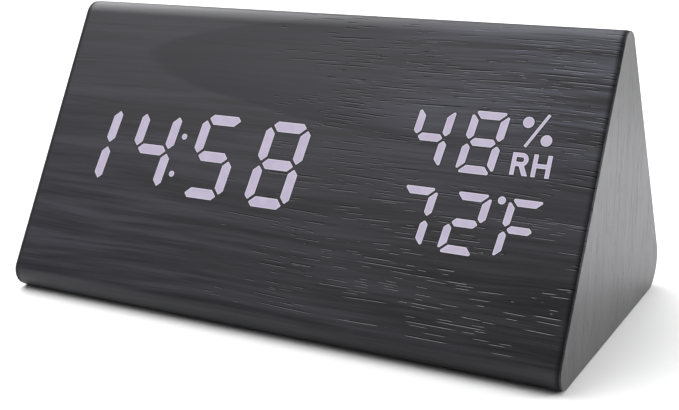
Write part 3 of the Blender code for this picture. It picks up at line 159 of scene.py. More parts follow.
# Door, controls and cells, in the row frame of the panel
CAD_WELD = 1e-6                 # merges the loose triangles of a solid
FLAT_ANGLE = math.radians(1.0)
EDGE_ANGLE = math.radians(40.0)
PANEL_SOFT = 0.22 * MM          # rounding of the panel's edges
DOOR_MIDDLE = -(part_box("battery_door")[0].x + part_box("battery_door")[1].x) / 2
DOOR_PLATE = 1.8 * MM
DOOR_HALF_LENGTH = 27.45 * MM
DOOR_HALF_HEIGHT = 17.95 * MM
DOOR_SOFT = 0.4 * MM            # rounding of its edges
DOOR_END_SOFT = DOOR_SOFT * 0.9
DOOR_SHARES = np.linspace(-0.9, 0.9, 9)
HINGE_PIN = (0.65 * MM, 1.4 * MM)
LATCH_BOX = (8.0 * MM, 1.0 * MM)
LATCH_MIDDLE = 15.85 * MM
LATCH_DEPTH = 3.8 * MM
LATCH_SOFT = 0.3 * MM
LATCH_TIP = ((0.3 * MM, 0.0), (0.1 * MM, 0.2 * MM))   # insets of its tip, and how high over it they lie
SCREW_SPOTS = [(x * 52.2 * MM, y * 13.5 * MM) for x in (-1, 1) for y in (-1, 1)]
SCREW_TURNS = (0.3, 1.1, 0.7, 0.15)
SCREW_SEAT = -1.3 * MM
SCREW_SHANK = (1.1 * MM, 5.6 * MM)
SCREW_HEAD = (2.2 * MM, 1.3 * MM)
SCREW_SOFT = 0.45 * MM
SCREW_POINT = 0.7               # share of the shank's radius
SCREW_FACE = 1.5 * MM           # radius out to which the head is flat
CROSS = (0.36 * MM, 1.35 * MM)  # half width and reach of the cross recess
CROSS_SOFT = 0.08 * MM
CROSS_STEPS = ((0.0, 0.0), (0.05 * MM, 0.1 * MM), (0.18 * MM, 0.75 * MM))   # its insets and their depths
CONTROL_MIDDLE = -28.35 * MM
BUTTON_PITCH = 11.0 * MM
BUTTON_HEIGHT = 9.2 * MM
BUTTON_RADIUS = 3.0 * MM
BUTTON_PROUD = 1.0 * MM
BUTTON_SOFT = 0.5 * MM
BUTTON_DISH = 0.18 * MM
DISH_STEPS = 7
BUTTON_FLANGE = (3.9 * MM, -3.1 * MM, -3.9 * MM)
BUTTON_STEM = (1.5 * MM, -7.0 * MM)
MARK_REACH = 1.5 * MM
MARK_RISE = 0.2 * MM
MARK_SOFT = 0.15 * MM
SOCKET_SPOT = (-39.85 * MM, -8.8 * MM)
SOCKET_HALF = 4.5 * MM
SOCKET_FLOOR, SOCKET_COVER = -9.6 * MM, -3.1 * MM
SOCKET_LIP = -0.3 * MM
SOCKET_SNOUT, SOCKET_BORE = 3.6 * MM, 2.0 * MM
SOCKET_BOTTOM = -8.5 * MM
SOCKET_SOFT = 0.3 * MM
SOCKET_SIDES = 64
PIN_RADIUS = 0.68 * MM
PIN_ENDS = (-8.3 * MM, -2.0 * MM)
CELL_ROWS = (-11.0 * MM, 0.0, 11.0 * MM)
CELL_DEPTH = 7.45 * MM
CELL_RADIUS, CELL_CAN, CELL_LENGTH = 5.25 * MM, 43.5 * MM, 44.5 * MM
CELL_RIM = 0.5 * MM
CELL_NUB = 1.9 * MM
NUB_SOFT = 0.3 * MM
SLEEVE_EDGE = CELL_RADIUS * 0.8  # where the sleeve ends, drawn over the can
BARE_EDGE = SLEEVE_EDGE - 0.05 * MM
CELL_FOOT = [(0.0, 0.15 * MM), (SLEEVE_EDGE * 0.8, 0.15 * MM), (SLEEVE_EDGE * 0.9, 0.05 * MM),
             (BARE_EDGE, 0.05 * MM)]
CELL_HEAD = [(BARE_EDGE, CELL_CAN - 0.1 * MM), (SLEEVE_EDGE * 0.7, CELL_CAN - 0.1 * MM),
             (CELL_NUB + 0.4 * MM, CELL_CAN - 0.02 * MM), (CELL_NUB, CELL_CAN + 0.1 * MM)]
SPRING_LENGTH = 6.0 * MM
SPRING_WIRE = 0.3 * MM          # radius
SPRING_RADII = (3.6 * MM, 2.4 * MM)
SPRING_TURNS = 3
SPRING_LEVEL = 0.8              # how nearly level its first and last turns lie
TURN_STEPS, WIRE_SIDES = 40, 12
SPRING_SEAT = 25.35 * MM        # middle of the tray to the foot of a spring
CONTACT_GAP = 0.2 * MM

# Finishes, in millimetres where nothing else is said
FIGURE_TIP = (-50.7, 69.0)      # arrowhead in the grain: along the case and up its front
FIGURE_OPENING = 1.88
FIGURE_RAGGED = 8.0             # how far its outline wanders
FIGURE_EDGE = (-2.0, 5.0)       # where it sets in, inside its outline, and where it fades
FIGURE_FADE = (12.0, 60.0)
END_GRAIN_SHIFT = (130.0, 40.0, 0.0)
END_FINENESS = 2.0              # grain of the ends against that of the wrap
# the ends carry a slanting paler band of painted light and a darker top of painted shade
END_LEAN = 0.15                 # slant of the bands across the ends
# painted highlight: strength of the lit pore lips on the ends
END_LIPS = 0.2                  # strength of the pale lips of their pores
PAINTED_BAND_STEPS = ((64.0, 38.0), (4.0, 24.0))   # soft steps of their paler band, up the end
PAINTED_TOP_SHADE = (44.0, 68.0)          # and of their darker top
GRAIN_BEND = 6.0                # how far the grain wanders
GRAIN_NOISE = {                 # cells along, across and through the grain, then detail and roughness
    "wander": ((0.012, 0.05, 1.0), 1.0),
    "broad": ((0.010, 0.16, 1.0), 2.0),
    "streak": ((0.022, 0.75, 1.0), 2.0, 0.55),
    "fine": ((0.09, 2.6, 1.0), 2.0, 0.6),
    "line": ((0.022, 0.95, 4.0), 1.0),
    "patchy": ((0.04, 0.13, 7.0), 1.0),
}
LINE_STEP, PATCHY_STEP = (0.60, 0.74), (0.30, 0.70)
PORE_DEPTH = 0.06 * MM
PORE_LAYERS = ((0.62, 7.5, 0.070, 3.0), (1.10, 21.0, 0.090, 11.0))   # pitch of rows, run, half width, seed
PORE_SLIDE = 17.0               # runs by which a row may be moved along
PORE_MIDDLE = 0.65              # latest middle of a pore in its cell, and how much earlier it may lie
PORE_EARLY = 0.3
PORE_TILT = 0.5
PORE_LEVEL = (0.41, 0.26)       # shares of a cell: least height of a pore, and what chance adds
PORE_REACH = (0.12, 0.34)       # the same for half its length
# the dark side of a pore is painted shade, its pale lip a painted highlight
GROOVE_SPREAD = 1.6             # a pore's dark side and pale lip, in its half widths, and where the lip lies
LIP_SPREAD = 0.75
LIP_PLACE = 1.9
CLEAR_SPREAD = 6.0              # no short pore this near to a long one
PORE_STEP, PORE_SHARE = (-22.0, 20.0), 0.74
PORE_FOOT = (6.0, 12.0)         # none at the lower front edge
TRIM = (WRAP_END / MM - 1.4, WRAP_END / MM - 0.2)
LOW_FRONT = (("Y", 52.0, 15.0), ("Y", -14.0, -5.0))
WRAP_MASKS = {                  # products of soft steps along the case (X) and up the grain map (Y)
    # painted shade: darkens the duller streaks low on the front
    "low": LOW_FRONT,
    # painted shade: darker towards the lower front and to its right
    "painted_shade": (("X", -60.0, 60.0), *LOW_FRONT),
    # painted highlight: paler pore lips on the lower right of the front
    "lit": (("X", -5.0, 60.0), *LOW_FRONT),
    # painted shade: darker along the lower front edge
    "foot": (("Y", 7.5, 1.0), LOW_FRONT[1]),
    "calm": (("Y", 46.0, 66.0), ("Y", CREST + 14.0, CREST + 6.0), ("X", 30.0, -30.0)),
    # painted shade: the top edge dimmed towards the right
    "crest_shade": (("Y", CREST - 1.0, CREST + 3.0), ("Y", CREST + 14.0, CREST + 8.0), ("X", 0.0, 70.0)),
    # painted light: paler, livelier print high up on the right of the front
    "high": (("Y", 44.0, 64.0), ("Y", CREST + 6.0, CREST), ("X", 5.0, 60.0)),
}
CELL_RING = 38.0                # along the sleeve
RED_WIRE_EDGE = (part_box("ribbon_cable")[0].x / MM) + 1.0

# Studio
FLOOR_REACH = 40.0
WORLD_STRENGTH = 0.18
SKY_POWER, SKY_ANGLE, SKY_PLACE = 3.1, math.radians(75.0), (-0.42, 0.30, 1.1)
LAMP_TARGET = (0.0, 0.0, 0.04)
LAMPS = {                       # place, size and power
    "back_left": ((-0.95, 0.45, 0.75), (0.8, 0.6), 5.0),
    "high_front": ((-0.42, -0.30, 0.64), (0.7, 0.35), 1.6),
    "right": ((1.0, 0.85, 0.33), (0.8, 0.4), 21.0),
}

# Camera, fitted to the edges of the body in the photo
CAMERA_AZIMUTH = math.radians(28.603)
CAMERA_ELEVATION = math.radians(16.364)
CAMERA_ROLL = math.radians(-0.827)
CAMERA_DISTANCE = 311.683 * MM
CAMERA_TARGET = (1.197 * MM, SHIFT, 22.025 * MM)
CAMERA_LENS = 63.48
SENSOR = 36.0

FRONT_AXES = np.array([[1.0, 0.0, 0.0], [0.0, 0.5, ROOT3 / 2], [0.0, -ROOT3 / 2, 0.5]])
FRONT_FOOT = np.array([0.0, SHIFT - SIDE / 2, 0.0])
BACK_AXES = np.array([[-1.0, 0.0, 0.0], [0.0, -0.5, ROOT3 / 2], [0.0, ROOT3 / 2, 0.5]])
BACK_FOOT = np.array([0.0, SHIFT + SIDE / 2, 0.0])


# Surfaces

def pairs(first, second):
    """Points of a plane from two coordinates, each an array or one value."""
    return np.stack(np.broadcast_arrays(first, second), -1)


def on_front(across, up, out):
    """Points given along, up and out of the front face, in the row frame."""
    return FRONT_FOOT + np.stack(np.broadcast_arrays(across, up, out), -1) @ FRONT_AXES


def on_panel(across, up, out):
    """Points given along, up and out of the rear face from the middle of the panel, in the row frame."""
    return BACK_FOOT + np.stack(np.broadcast_arrays(across, up + PANEL_MIDDLE, out), -1) @ BACK_AXES


class Patch:
    """Grid of points (rows, columns, 3) with a grain map and a rim mask, and its quads."""

    def __init__(self, points, grain=None, rim=0.0, closed=False):
        rows, columns = points.shape[:2]
        self.points = points.reshape(-1, 3)
        self.grain = (np.zeros((rows, columns, 2)) if grain is None else grain).reshape(-1, 2)
        self.rim = np.broadcast_to(rim, (rows, columns)).ravel()
        index = np.arange(rows * columns).reshape(rows, columns)
        right = np.roll(index, -1, 1) if closed else index[:, 1:]
        left = index if closed else index[:, :-1]
        self.quads = np.stack((left[:-1], right[:-1], right[1:], left[1:]), -1).reshape(-1, 4)


def piece(name, patches, finish, body="case", replaced=(), crease=35.0):
    """Joins patches into one welded mesh with faces outward, and puts it on a body of the frame."""
    starts = np.cumsum([0] + [len(patch.points) for patch in patches])
    points = np.concatenate([patch.points for patch in patches])
    grain = np.concatenate([patch.grain for patch in patches])
    rim = np.concatenate([patch.rim for patch in patches])
    quads = np.concatenate([patch.quads + start for patch, start in zip(patches, starts)])
    mesh = bpy.data.meshes.new(name)
    mesh.from_pydata(points.tolist(), [], quads.tolist())
    mesh.uv_layers.new(name="grain").data.foreach_set("uv", grain[quads.ravel()].ravel())
    mesh.attributes.new("rim", "FLOAT", "POINT").data.foreach_set("value", rim.astype(np.float32))
    work = bmesh.new()
    work.from_mesh(mesh)
    bmesh.ops.remove_doubles(work, verts=work.verts, dist=WELD)
    bmesh.ops.dissolve_degenerate(work, dist=WELD, edges=work.edges)
    bmesh.ops.recalc_face_normals(work, faces=work.faces)
    work.to_mesh(mesh)
    work.free()
    mesh.shade_smooth()
    mesh.set_sharp_from_angle(angle=math.radians(crease))
    mesh.materials.append(finish)
    item = bpy.data.objects.new(name, mesh)
    bpy.context.scene.collection.objects.link(item)
    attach(item, body)
    if replaced:
        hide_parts(*replaced)
    return item


def rounded(corners, radius, inset=0.0, steps=5):
    """Closed outline with an arc at each corner, moved inward by inset.

    The centre of an arc lies on the bisector of its corner. The arc turns from the normal of one side to
    that of the next, and at a hollow corner it lies on the other side of its centre. An inset takes from the
    radius of an arc until it is sharp.
    """
    corners = np.asarray(corners, float)
    before = corners - np.roll(corners, 1, 0)
    after = np.roll(corners, -1, 0) - corners
    before /= np.linalg.norm(before, axis=1, keepdims=True)
    after /= np.linalg.norm(after, axis=1, keepdims=True)
    normal_before = pairs(before[:, 1], -before[:, 0])
    normal_after = pairs(after[:, 1], -after[:, 0])
    cosine = np.sum(before * after, 1)
    turn = np.arctan2(before[:, 0] * after[:, 1] - before[:, 1] * after[:, 0], cosine)
    side = np.where(turn < 0, -1.0, 1.0)
    radius = np.broadcast_to(radius, len(corners))
    reach = np.where(side > 0, np.maximum(radius - inset, SHARP_CORNER), -radius - inset)
    centre = corners - (normal_before + normal_after) * ((reach + inset) / (1 + cosine))[:, None]
    share = np.linspace(0.0, 1.0, steps + 1)
    angle = np.arctan2(normal_before[:, 1], normal_before[:, 0])[:, None] + turn[:, None] * share
    arc = pairs(np.cos(angle), np.sin(angle)) * reach[:, None, None]
    return (centre[:, None] + arc).reshape(-1, 2)


def circle(centre, radius, inset=0.0, sides=40):
    """Closed round outline, moved inward by inset."""
    angle = np.linspace(0.0, 2 * math.pi, sides, endpoint=False)
    return np.asarray(centre) + (radius - inset) * pairs(np.cos(angle), np.sin(angle))


def stacked(rings, heights, place, rim=0.0, grain=None):
    """Surface through rings of equal count, each at its own height over the plane of a place."""
    flat = np.stack(rings)
    heights = np.asarray(heights)[:, None]
    rim = np.broadcast_to(rim, len(rings))[:, None]
    return Patch(place(flat[..., 0], flat[..., 1], heights), grain, rim, closed=True)


def tile(outline_at, levels, place):
    """Closed flat body: rings of one outline at (inset, height, rim) levels, between two middle points."""
    insets, heights, rims = np.array(levels).T
    rings = [outline_at(inset) for inset in insets]
    middle = np.broadcast_to(rings[0].mean(0), rings[0].shape)
    heights = [heights[0], *heights, heights[-1]]
    return stacked([middle, *rings, middle], heights, place, [0.0, *rims, rims[-1]])


def capped(points):
    """Rows of closed rings with the middle of the first and of the last ring added as end caps."""
    first, last = (np.broadcast_to(row.mean(0), row.shape)[None] for row in (points[0], points[-1]))
    return np.concatenate((first, points, last))


def section(inset):
    """Rounded triangle of the case, set in from its faces, from the top of the rear face round to its foot.

    Each corner is an arc of 120 degrees about a fixed centre, and straight runs join the arcs. An array of
    insets gives (points, insets, 2).
    """
    inset = np.atleast_1d(inset)[None, None, :]
    direction = np.radians([90.0, 210.0, 330.0])[:, None, None]
    radius = np.array([TOP_RADIUS, FRONT_RADIUS, BACK_RADIUS])[:, None, None]
    reach = 2 * (INRADIUS - radius)
    turn = direction + np.radians(np.linspace(-60.0, 60.0, ARC_STEPS + 1))[None, :, None]
    y = SHIFT + reach * np.cos(direction) + (radius - inset) * np.cos(turn)
    z = INRADIUS + reach * np.sin(direction) + (radius - inset) * np.sin(turn)
    arcs = pairs(y, z)
    runs = straight(arcs[:2, -1], arcs[1:, 0], RUN_SHARES)
    return np.concatenate((arcs[0], runs[0], arcs[1], runs[1], arcs[2]))


def straight(start, end, shares):
    """Points on straight runs between two arrays of points."""
    return start[:, None] + (end - start)[:, None] * shares[None, :, None, None]


def girth():
    """Distance round the section for each of its points, counted up the front from its sharp lower edge."""
    loop = section(0.0)[:, 0]
    steps = np.linalg.norm(np.diff(loop, axis=0), axis=1)
    run = np.concatenate(([0.0], np.cumsum(steps)))
    return FRONT_TOP + run[ARC_STEPS] - run


def grain_map(along, across):
    """Map of the grain from distances along it and across it."""
    return pairs(along, across) / GRAIN_UNIT


def quarter(steps=5):
    """Sine and cosine of a quarter turn, for the rounding of an edge."""
    angle = np.linspace(0.0, math.pi / 2, steps + 1)
    return np.sin(angle), np.cos(angle)


def wrap_film(finish):
    """Film round the three faces: a thin closed profile (place along the case, inset) carried round it.

    The rear face is left out of that sweep. It is made of two end strips and a ring between the opening for
    the panel and a rectangle.
    """
    sine, cosine = quarter(EASE_STEPS)
    long_steps, short_steps = RING_STEPS
    opening_half = np.array([PANEL_HALF_WIDTH, PANEL_HALF_HEIGHT]) + PANEL_ROOM
    ring_end = opening_half[0] + RING_MARGIN
    middle = np.linspace(-ring_end, ring_end, long_steps + 1)
    edge_x = WRAP_END - WRAP_EASE + WRAP_EASE * sine[::-1]
    edge_inset = WRAP_FALL * (1 - cosine[::-1])
    outer_x = np.concatenate((-edge_x, middle, edge_x[::-1]))
    outer_inset = np.concatenate((edge_inset, np.zeros(len(middle)), edge_inset[::-1]))
    inner_x = np.concatenate(([WRAP_END], middle[::-1], [-WRAP_END]))
    profile_x = np.concatenate((outer_x, inner_x))
    profile_inset = np.concatenate((outer_inset, np.full(len(inner_x), FILM)))

    def swept(x, loop, across, closed):
        """Places along the case carried round a loop, with the grain along the case."""
        points = np.concatenate((np.broadcast_to(x[None, :, None], (*loop.shape[:2], 1)), loop), -1)
        return Patch(points, grain_map(x[None, :], across[:, None]), closed=closed)

    def down_rear(inset):
        """Straight run down the rear face at the given insets."""
        loop = section(inset)
        return straight(loop[None, 0], loop[None, -1], np.linspace(0.0, 1.0, short_steps + 1))[0]

    around = girth()
    patches = [swept(profile_x, section(profile_inset), around, True)]
    rear_line = down_rear(0.0)[:, 0]
    rear_across = around[0] + np.linalg.norm(rear_line - rear_line[0], axis=1)
    for sign in (-1.0, 1.0):
        strip_x = sign * np.concatenate(([ring_end], [WRAP_END], edge_x, [ring_end]))
        strip_inset = np.concatenate(([FILM, FILM], edge_inset, [0.0]))
        patches.append(swept(strip_x, down_rear(strip_inset), rear_across, False))

    # Ring round the opening: the rectangle is walked in the same order as the opening's outline
    top, bottom = (BACK_FOOT[1] - rear_line[[0, -1], 0]) * 2 - PANEL_MIDDLE
    upright = np.linspace(bottom, top, short_steps + 1)
    outline = np.concatenate((pairs(ring_end, upright[:-1]), pairs(middle[:0:-1], top),
                              pairs(-ring_end, upright[:0:-1]), pairs(middle[:-1], bottom)))
    opening, outward = nearest_on_opening(outline, opening_half)
    rings = [outline, *(opening + outward * (FILM_EDGE * (1 - s)) for s in sine), opening, outline]
    heights = [0.0, *(-FILM_EDGE * (1 - cosine)), -FILM, -FILM]
    flat = np.stack(rings)
    grain = grain_map(-flat[..., 0], rear_across[0] + (top - flat[..., 1]))
    patches.append(stacked(rings, heights, on_panel, grain=grain))
    piece("wood_grain_wrap", patches, finish, replaced=["wrap_film"])


def nearest_on_opening(points, half):
    """Points of a rounded rectangle that lie towards given points outside it, and its outward normals there.

    A point is drawn in to the rectangle of the corner centres, and goes back out on that line by the radius.
    """
    radius = PANEL_CORNER + PANEL_ROOM
    inner = np.clip(points, radius - half, half - radius)
    outward = points - inner
    outward /= np.linalg.norm(outward, axis=1, keepdims=True)
    return inner + outward * radius, outward


def end_film(side, sign, finish):
    """Film on one end: rings of the section from the middle of its back over a rounded edge to its face."""
    sine, cosine = quarter()
    loops = section(END_FALL + np.concatenate(([0.0], FILM_EDGE * (1 - cosine), [2 * FILM_EDGE])))
    rear_run = straight(loops[None, -1], loops[None, 0], RUN_SHARES)[0]
    loops = np.concatenate((loops, rear_run)).transpose(1, 0, 2)
    heart = np.array([SHIFT, INRADIUS])
    face = heart + (loops[-1] - heart) * FACE_SHARES[:, None, None]
    flat = np.concatenate((np.broadcast_to(heart, loops[:1].shape), loops, face))
    edge = LENGTH / 2 - FILM_EDGE + FILM_EDGE * sine
    x = np.concatenate(([LENGTH / 2 - FILM] * 2, edge, [LENGTH / 2] * (1 + len(face))))
    points = np.concatenate((np.broadcast_to(sign * x[:, None, None], (*flat.shape[:2], 1)), flat), -1)
    patch = Patch(points, grain_map(flat[..., 1], flat[..., 0] * sign), closed=True)
    piece(f"wood_grain_end_{side}", [patch], finish, replaced=[f"end_film_{side}"])


# Lit figures

def bar_corners(style, letter):
    """Six corners of one bar of a digit and their radii, mitred at 45 degrees to a tip at each end.

    A tip lies short of the corner of the digit by the gap. At an outer corner it also stands outside the
    middle line of the bar.
    """
    start, end, outside, outer_start, outer_end = BAR_ENDS[letter]
    half = np.array(style["half"])
    ends = np.array([start, end]) * half
    outside = np.array(outside, float)
    along = (ends[1] - ends[0]) / np.linalg.norm(ends[1] - ends[0])
    inward = np.stack((along, -along))
    rise = style["rise"] * np.array([[outer_start], [outer_end]])
    depth = style["stroke"] / 2
    tips = ends + inward * (style["gap"] - rise) + outside * rise
    inner = tips + (inward - outside) * (depth + rise)
    outer = tips + (inward + outside) * (depth - rise)
    loop = np.stack((tips[0], inner[0], inner[1], tips[1], outer[1], outer[0]))
    radii = np.array(style["corners"])[[0, 1, 1, 0, 2, 2]]
    step = 1 if along[0] * outside[1] - along[1] * outside[0] > 0 else -1
    return loop[::step], radii[::step]


def leaning(points, lean, place):
    """Figure leaned to the right by its own height and moved to its place."""
    return points + pairs(lean * points[:, 1], 0.0) + place


def bar_tiles(style, figure, place, levels):
    """Lit bars of one figure of a style."""
    tiles = []
    for letter in LIT_BARS[figure]:
        corners, radii = bar_corners(style, letter)
        corners = leaning(corners, style["lean"], place)
        tiles.append(tile(lambda inset, c=corners, r=radii: rounded(c, r, inset), levels, on_front))
    return tiles


def dot_tiles(centres, radius, levels):
    """Round dots of one size."""
    return [tile(lambda inset, c=centre: circle(c, radius, inset), levels, on_front) for centre in centres]


def stroke_tile(corners, levels):
    """Straight stroke of a letter or sign, given by its four corners."""
    return tile(lambda inset: rounded(corners, LETTER_CORNER, inset), levels, on_front)


def box_corners(left, bottom, right, top):
    """Corners of an upright rectangle."""
    return np.array([[left, bottom], [right, bottom], [right, top], [left, top]])


def bowl_tile(origin, levels):
    """Bowl of the letter R: a stroke carried along two straight arms and the half circle between them."""
    half = LETTER_STROKE / 2
    line = BOWL_RADIUS - half
    middle = np.array([LETTER_WIDTH - BOWL_INSET - BOWL_RADIUS, LETTER_HEIGHT - BOWL_RADIUS])
    angle = np.linspace(math.pi / 2, -math.pi / 2, ARC_STEPS + 1)
    ray = pairs(np.cos(angle), np.sin(angle))
    path = np.concatenate(([[half, middle[1] + line]], middle + line * ray, [[half, middle[1] - line]]))
    normal = np.concatenate(([[0.0, 1.0]], ray, [[0.0, -1.0]]))
    insets, heights, rims = np.array(levels).T
    reach = np.concatenate((half - insets, (insets - half)[::-1]))
    heights, rims = (np.concatenate((values, values[::-1])) for values in (heights, rims))
    flat = path[:, None] + normal[:, None] * reach[None, :, None] + origin
    return Patch(capped(on_front(flat[..., 0], flat[..., 1], heights)), rim=rims, closed=True)


def legend_tiles(levels):
    """Per-cent sign over the letters R and H."""
    place = np.array(LEGEND_PLACE)
    low, high = np.array(SLASH_LOW), np.array(SLASH_HIGH)
    along = (high - low) / np.linalg.norm(high - low)
    across = np.array([along[1], -along[0]]) * SLASH_WIDTH / 2
    slash = np.stack((low + across, high + across, high - across, low - across))
    half = LETTER_STROKE / 2
    stem = box_corners(0.0, 0.0, LETTER_STROKE, LETTER_HEIGHT)
    far_stem = box_corners(LETTER_WIDTH - LETTER_STROKE, 0.0, LETTER_WIDTH, LETTER_HEIGHT)
    crossbar = box_corners(half, LETTER_HEIGHT / 2 - half, LETTER_WIDTH - half, LETTER_HEIGHT / 2 + half)
    leg_x = LETTER_WIDTH - BOWL_INSET - BOWL_RADIUS - LEG_SHIFT
    leg_top = LETTER_HEIGHT - 2 * BOWL_RADIUS + half
    leg = np.array([[leg_x, leg_top], [LETTER_WIDTH - LEG_WIDTH, 0.0], [LETTER_WIDTH, 0.0],
                    [leg_x + LEG_WIDTH, leg_top]])
    at_r = place + (-LETTER_WIDTH - LETTER_GAP / 2, LETTER_BASE)
    at_h = place + (LETTER_GAP / 2, LETTER_BASE)

    def strokes(origin, *shapes):
        """Straight strokes of one sign, from its lower left."""
        return [stroke_tile(corners + origin, levels) for corners in shapes]

    dots = dot_tiles(place + np.array(PERCENT_DOTS), PERCENT_DOT_RADIUS, levels)
    return [*strokes(place, slash), *dots, *strokes(at_r, stem, leg), bowl_tile(at_r, levels),
            *strokes(at_h, stem, far_stem, crossbar)]


def figures(levels):
    """Tiles of every lit figure, by the name of its light guide."""
    time_places = [np.array([TIME_START + TIME_PITCH * k, TIME_HEIGHT]) for k in range(4)]
    small = [CLIMATE_START + CLIMATE_PITCH * k for k in range(2)]
    colon = [(COLON_PLACE + sign * TIME_STYLE["lean"] * COLON_HALF_GAP, COLON_HEIGHT + sign * COLON_HALF_GAP)
             for sign in (-1, 1)]
    unit = np.array([UNIT_PLACE, TEMPERATURE_HEIGHT])
    made = {name: bar_tiles(TIME_STYLE, figure, place, levels) for name, figure, place in
            zip(("hours_tens", "hours_units", "minutes_tens", "minutes_units"), "1458", time_places)}
    made["colon"] = dot_tiles(colon, COLON_RADIUS, levels)
    for name, reading, shift, height, style in (
            ("humidity", "48", HUMIDITY_SHIFT, HUMIDITY_HEIGHT, HUMIDITY_STYLE),
            ("temperature", "72", 0.0, TEMPERATURE_HEIGHT, TEMPERATURE_STYLE)):
        for part, figure, x in zip(("tens", "units"), reading, small):
            made[f"{name}_{part}"] = bar_tiles(style, figure, np.array([x + shift, height]), levels)
    made["humidity_legend"] = legend_tiles(levels)
    made["temperature_legend"] = (bar_tiles(UNIT_STYLE, "F", unit, levels)
                                  + dot_tiles([unit + DEGREE_OFFSET], DEGREE_RADIUS, levels))
    return made


def lit_display(lit, dark):
    """One piece for each lit figure, and one for the darker film round their bars."""
    for name, tiles in figures(LIT_LEVELS).items():
        piece(f"{name}_lit", tiles, lit, replaced=[f"{name}_guide"])
    around = [patch for tiles in figures(SURROUND_LEVELS).values() for patch in tiles]
    piece("segment_surrounds", around, dark)


# Rear

def turned(profile, centre, place, sides=48, rim=0.0):
    """Turned body: each (radius, height) of a profile becomes a circle about a centre."""
    profile = np.asarray(profile)
    rings = [circle(centre, radius, sides=sides) for radius in profile[:, 0]]
    grain = np.broadcast_to(grain_map(profile[:, 1, None], 0.0), (len(profile), sides, 2))
    return stacked(rings, profile[:, 1], place, rim, grain)


def soft_edge(radius, height, soft, inward=True, up=True):
    """Quarter turn of a profile from its side to its face: (radius, height) pairs."""
    sine, cosine = quarter()
    across = radius + (soft if not inward else -soft) * (1 - cosine)
    along = height + (-soft if up else soft) * (1 - sine)
    return list(zip(across, along))


def along_tray(row, depth, start, direction):
    """Place for bodies that lie along the tray: their height runs along it from a start."""
    def place(a, b, height):
        """Point at a place of the section, some way along the tray."""
        return on_panel(start + direction * height, row + a, b - depth)
    return place


def softened(node, name, finish, width):
    """Merged copy of a solid of the frame, its flat faces made whole and its edges rounded."""
    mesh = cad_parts[node].data.copy()
    mesh.name = name
    work = bmesh.new()
    work.from_mesh(mesh)
    bmesh.ops.remove_doubles(work, verts=work.verts, dist=CAD_WELD)
    bmesh.ops.dissolve_limit(work, angle_limit=FLAT_ANGLE, verts=work.verts, edges=work.edges)
    work.to_mesh(mesh)
    work.free()
    mesh.materials.clear()
    mesh.materials.append(finish)
    mesh.shade_smooth()
    item = bpy.data.objects.new(name, mesh)
    bpy.context.scene.collection.objects.link(item)
    edges = item.modifiers.new("edges", "BEVEL")
    edges.width = width
    edges.segments = 2
    edges.limit_method = "ANGLE"
    edges.angle_limit = EDGE_ANGLE
    normals = item.modifiers.new("flats", "WEIGHTED_NORMAL")
    normals.weight = 100
    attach(item, "case")
    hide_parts(node)


def battery_door(finish):
    """Door: a plate section, round at the hinge, carried along the panel; with its two pins and latch tongue.

    Near each end the section is drawn in by a quarter turn, so that the end edges are rounded too.
    """
    half = DOOR_PLATE / 2
    section_corners = box_corners(-DOOR_HALF_HEIGHT, -DOOR_PLATE, DOOR_HALF_HEIGHT, 0.0)
    radii = np.array([half, DOOR_SOFT, DOOR_SOFT, half])
    sine, cosine = quarter()
    ends = DOOR_HALF_LENGTH - DOOR_SOFT * (1 - sine)
    insets = DOOR_END_SOFT * (1 - cosine)
    lengths = np.concatenate((-ends[::-1], DOOR_SHARES * DOOR_HALF_LENGTH, ends))
    insets = np.concatenate((insets[::-1], np.zeros(len(DOOR_SHARES)), insets))
    rings = np.stack([rounded(section_corners, radii, inset, 8) for inset in insets])
    plate = on_panel(DOOR_MIDDLE + lengths[:, None], rings[..., 0], rings[..., 1])
    patches = [Patch(capped(plate), closed=True)]
    hinge = half - DOOR_HALF_HEIGHT
    radius, reach = HINGE_PIN
    profile = [(0.0, -reach), (radius, -reach), *soft_edge(radius, reach, radius / 3), (0.0, reach)]
    for sign in (-1.0, 1.0):
        place = along_tray(hinge, half, DOOR_MIDDLE + sign * DOOR_HALF_LENGTH, sign)
        patches.append(turned(profile, (0.0, 0.0), place, 24))
    latch_half = np.array(LATCH_BOX) / 2
    tongue = box_corners(*-latch_half, *latch_half) + np.array([DOOR_MIDDLE, LATCH_MIDDLE])
    levels = [(inset, rise - LATCH_DEPTH, 0.0) for inset, rise in LATCH_TIP] + [(0.0, -half, 0.0)]
    patches.append(tile(lambda inset: rounded(tongue, LATCH_SOFT, inset), levels, on_panel))
    piece("battery_door_cover", patches, finish, "door", ["battery_door"])


def panel_screw(number, spot, turn, finish):
    """Pan-head screw: circles up its shank and over its head, then the outline of a cross down into it."""
    half, reach = CROSS
    arm = np.array([[reach, -half], [reach, half], [half, half]])
    quarter_turn = np.array([[0.0, 1.0], [-1.0, 0.0]])
    corners = np.concatenate([arm @ np.linalg.matrix_power(quarter_turn, k) for k in range(4)])
    spin = np.array([[math.cos(turn), math.sin(turn)], [-math.sin(turn), math.cos(turn)]])
    corners = corners @ spin

    def cross(inset):
        """Outline of the recess, moved inward by inset."""
        return rounded(corners, CROSS_SOFT, inset, 3)

    ray = cross(0.0) / np.linalg.norm(cross(0.0), axis=1, keepdims=True)
    shank, length = SCREW_SHANK
    head, height = SCREW_HEAD
    profile = [(0.0, -length), (SCREW_POINT * shank, -length), (shank, shank - length), (shank, 0.0),
               (head, 0.0), *soft_edge(head, height, SCREW_SOFT), (SCREW_FACE, height)]
    rings = [radius * ray for radius, rise in profile]
    rings += [cross(inset) for inset, depth in CROSS_STEPS] + [0.0 * ray]
    heights = [rise for radius, rise in profile]
    heights += [height - depth for inset, depth in (*CROSS_STEPS, CROSS_STEPS[-1])]
    patch = stacked([ring + spot for ring in rings], np.array(heights) + SCREW_SEAT, on_panel)
    piece(f"panel_screw_{number}", [patch], finish, replaced=[f"back_panel_screw_{number}"])


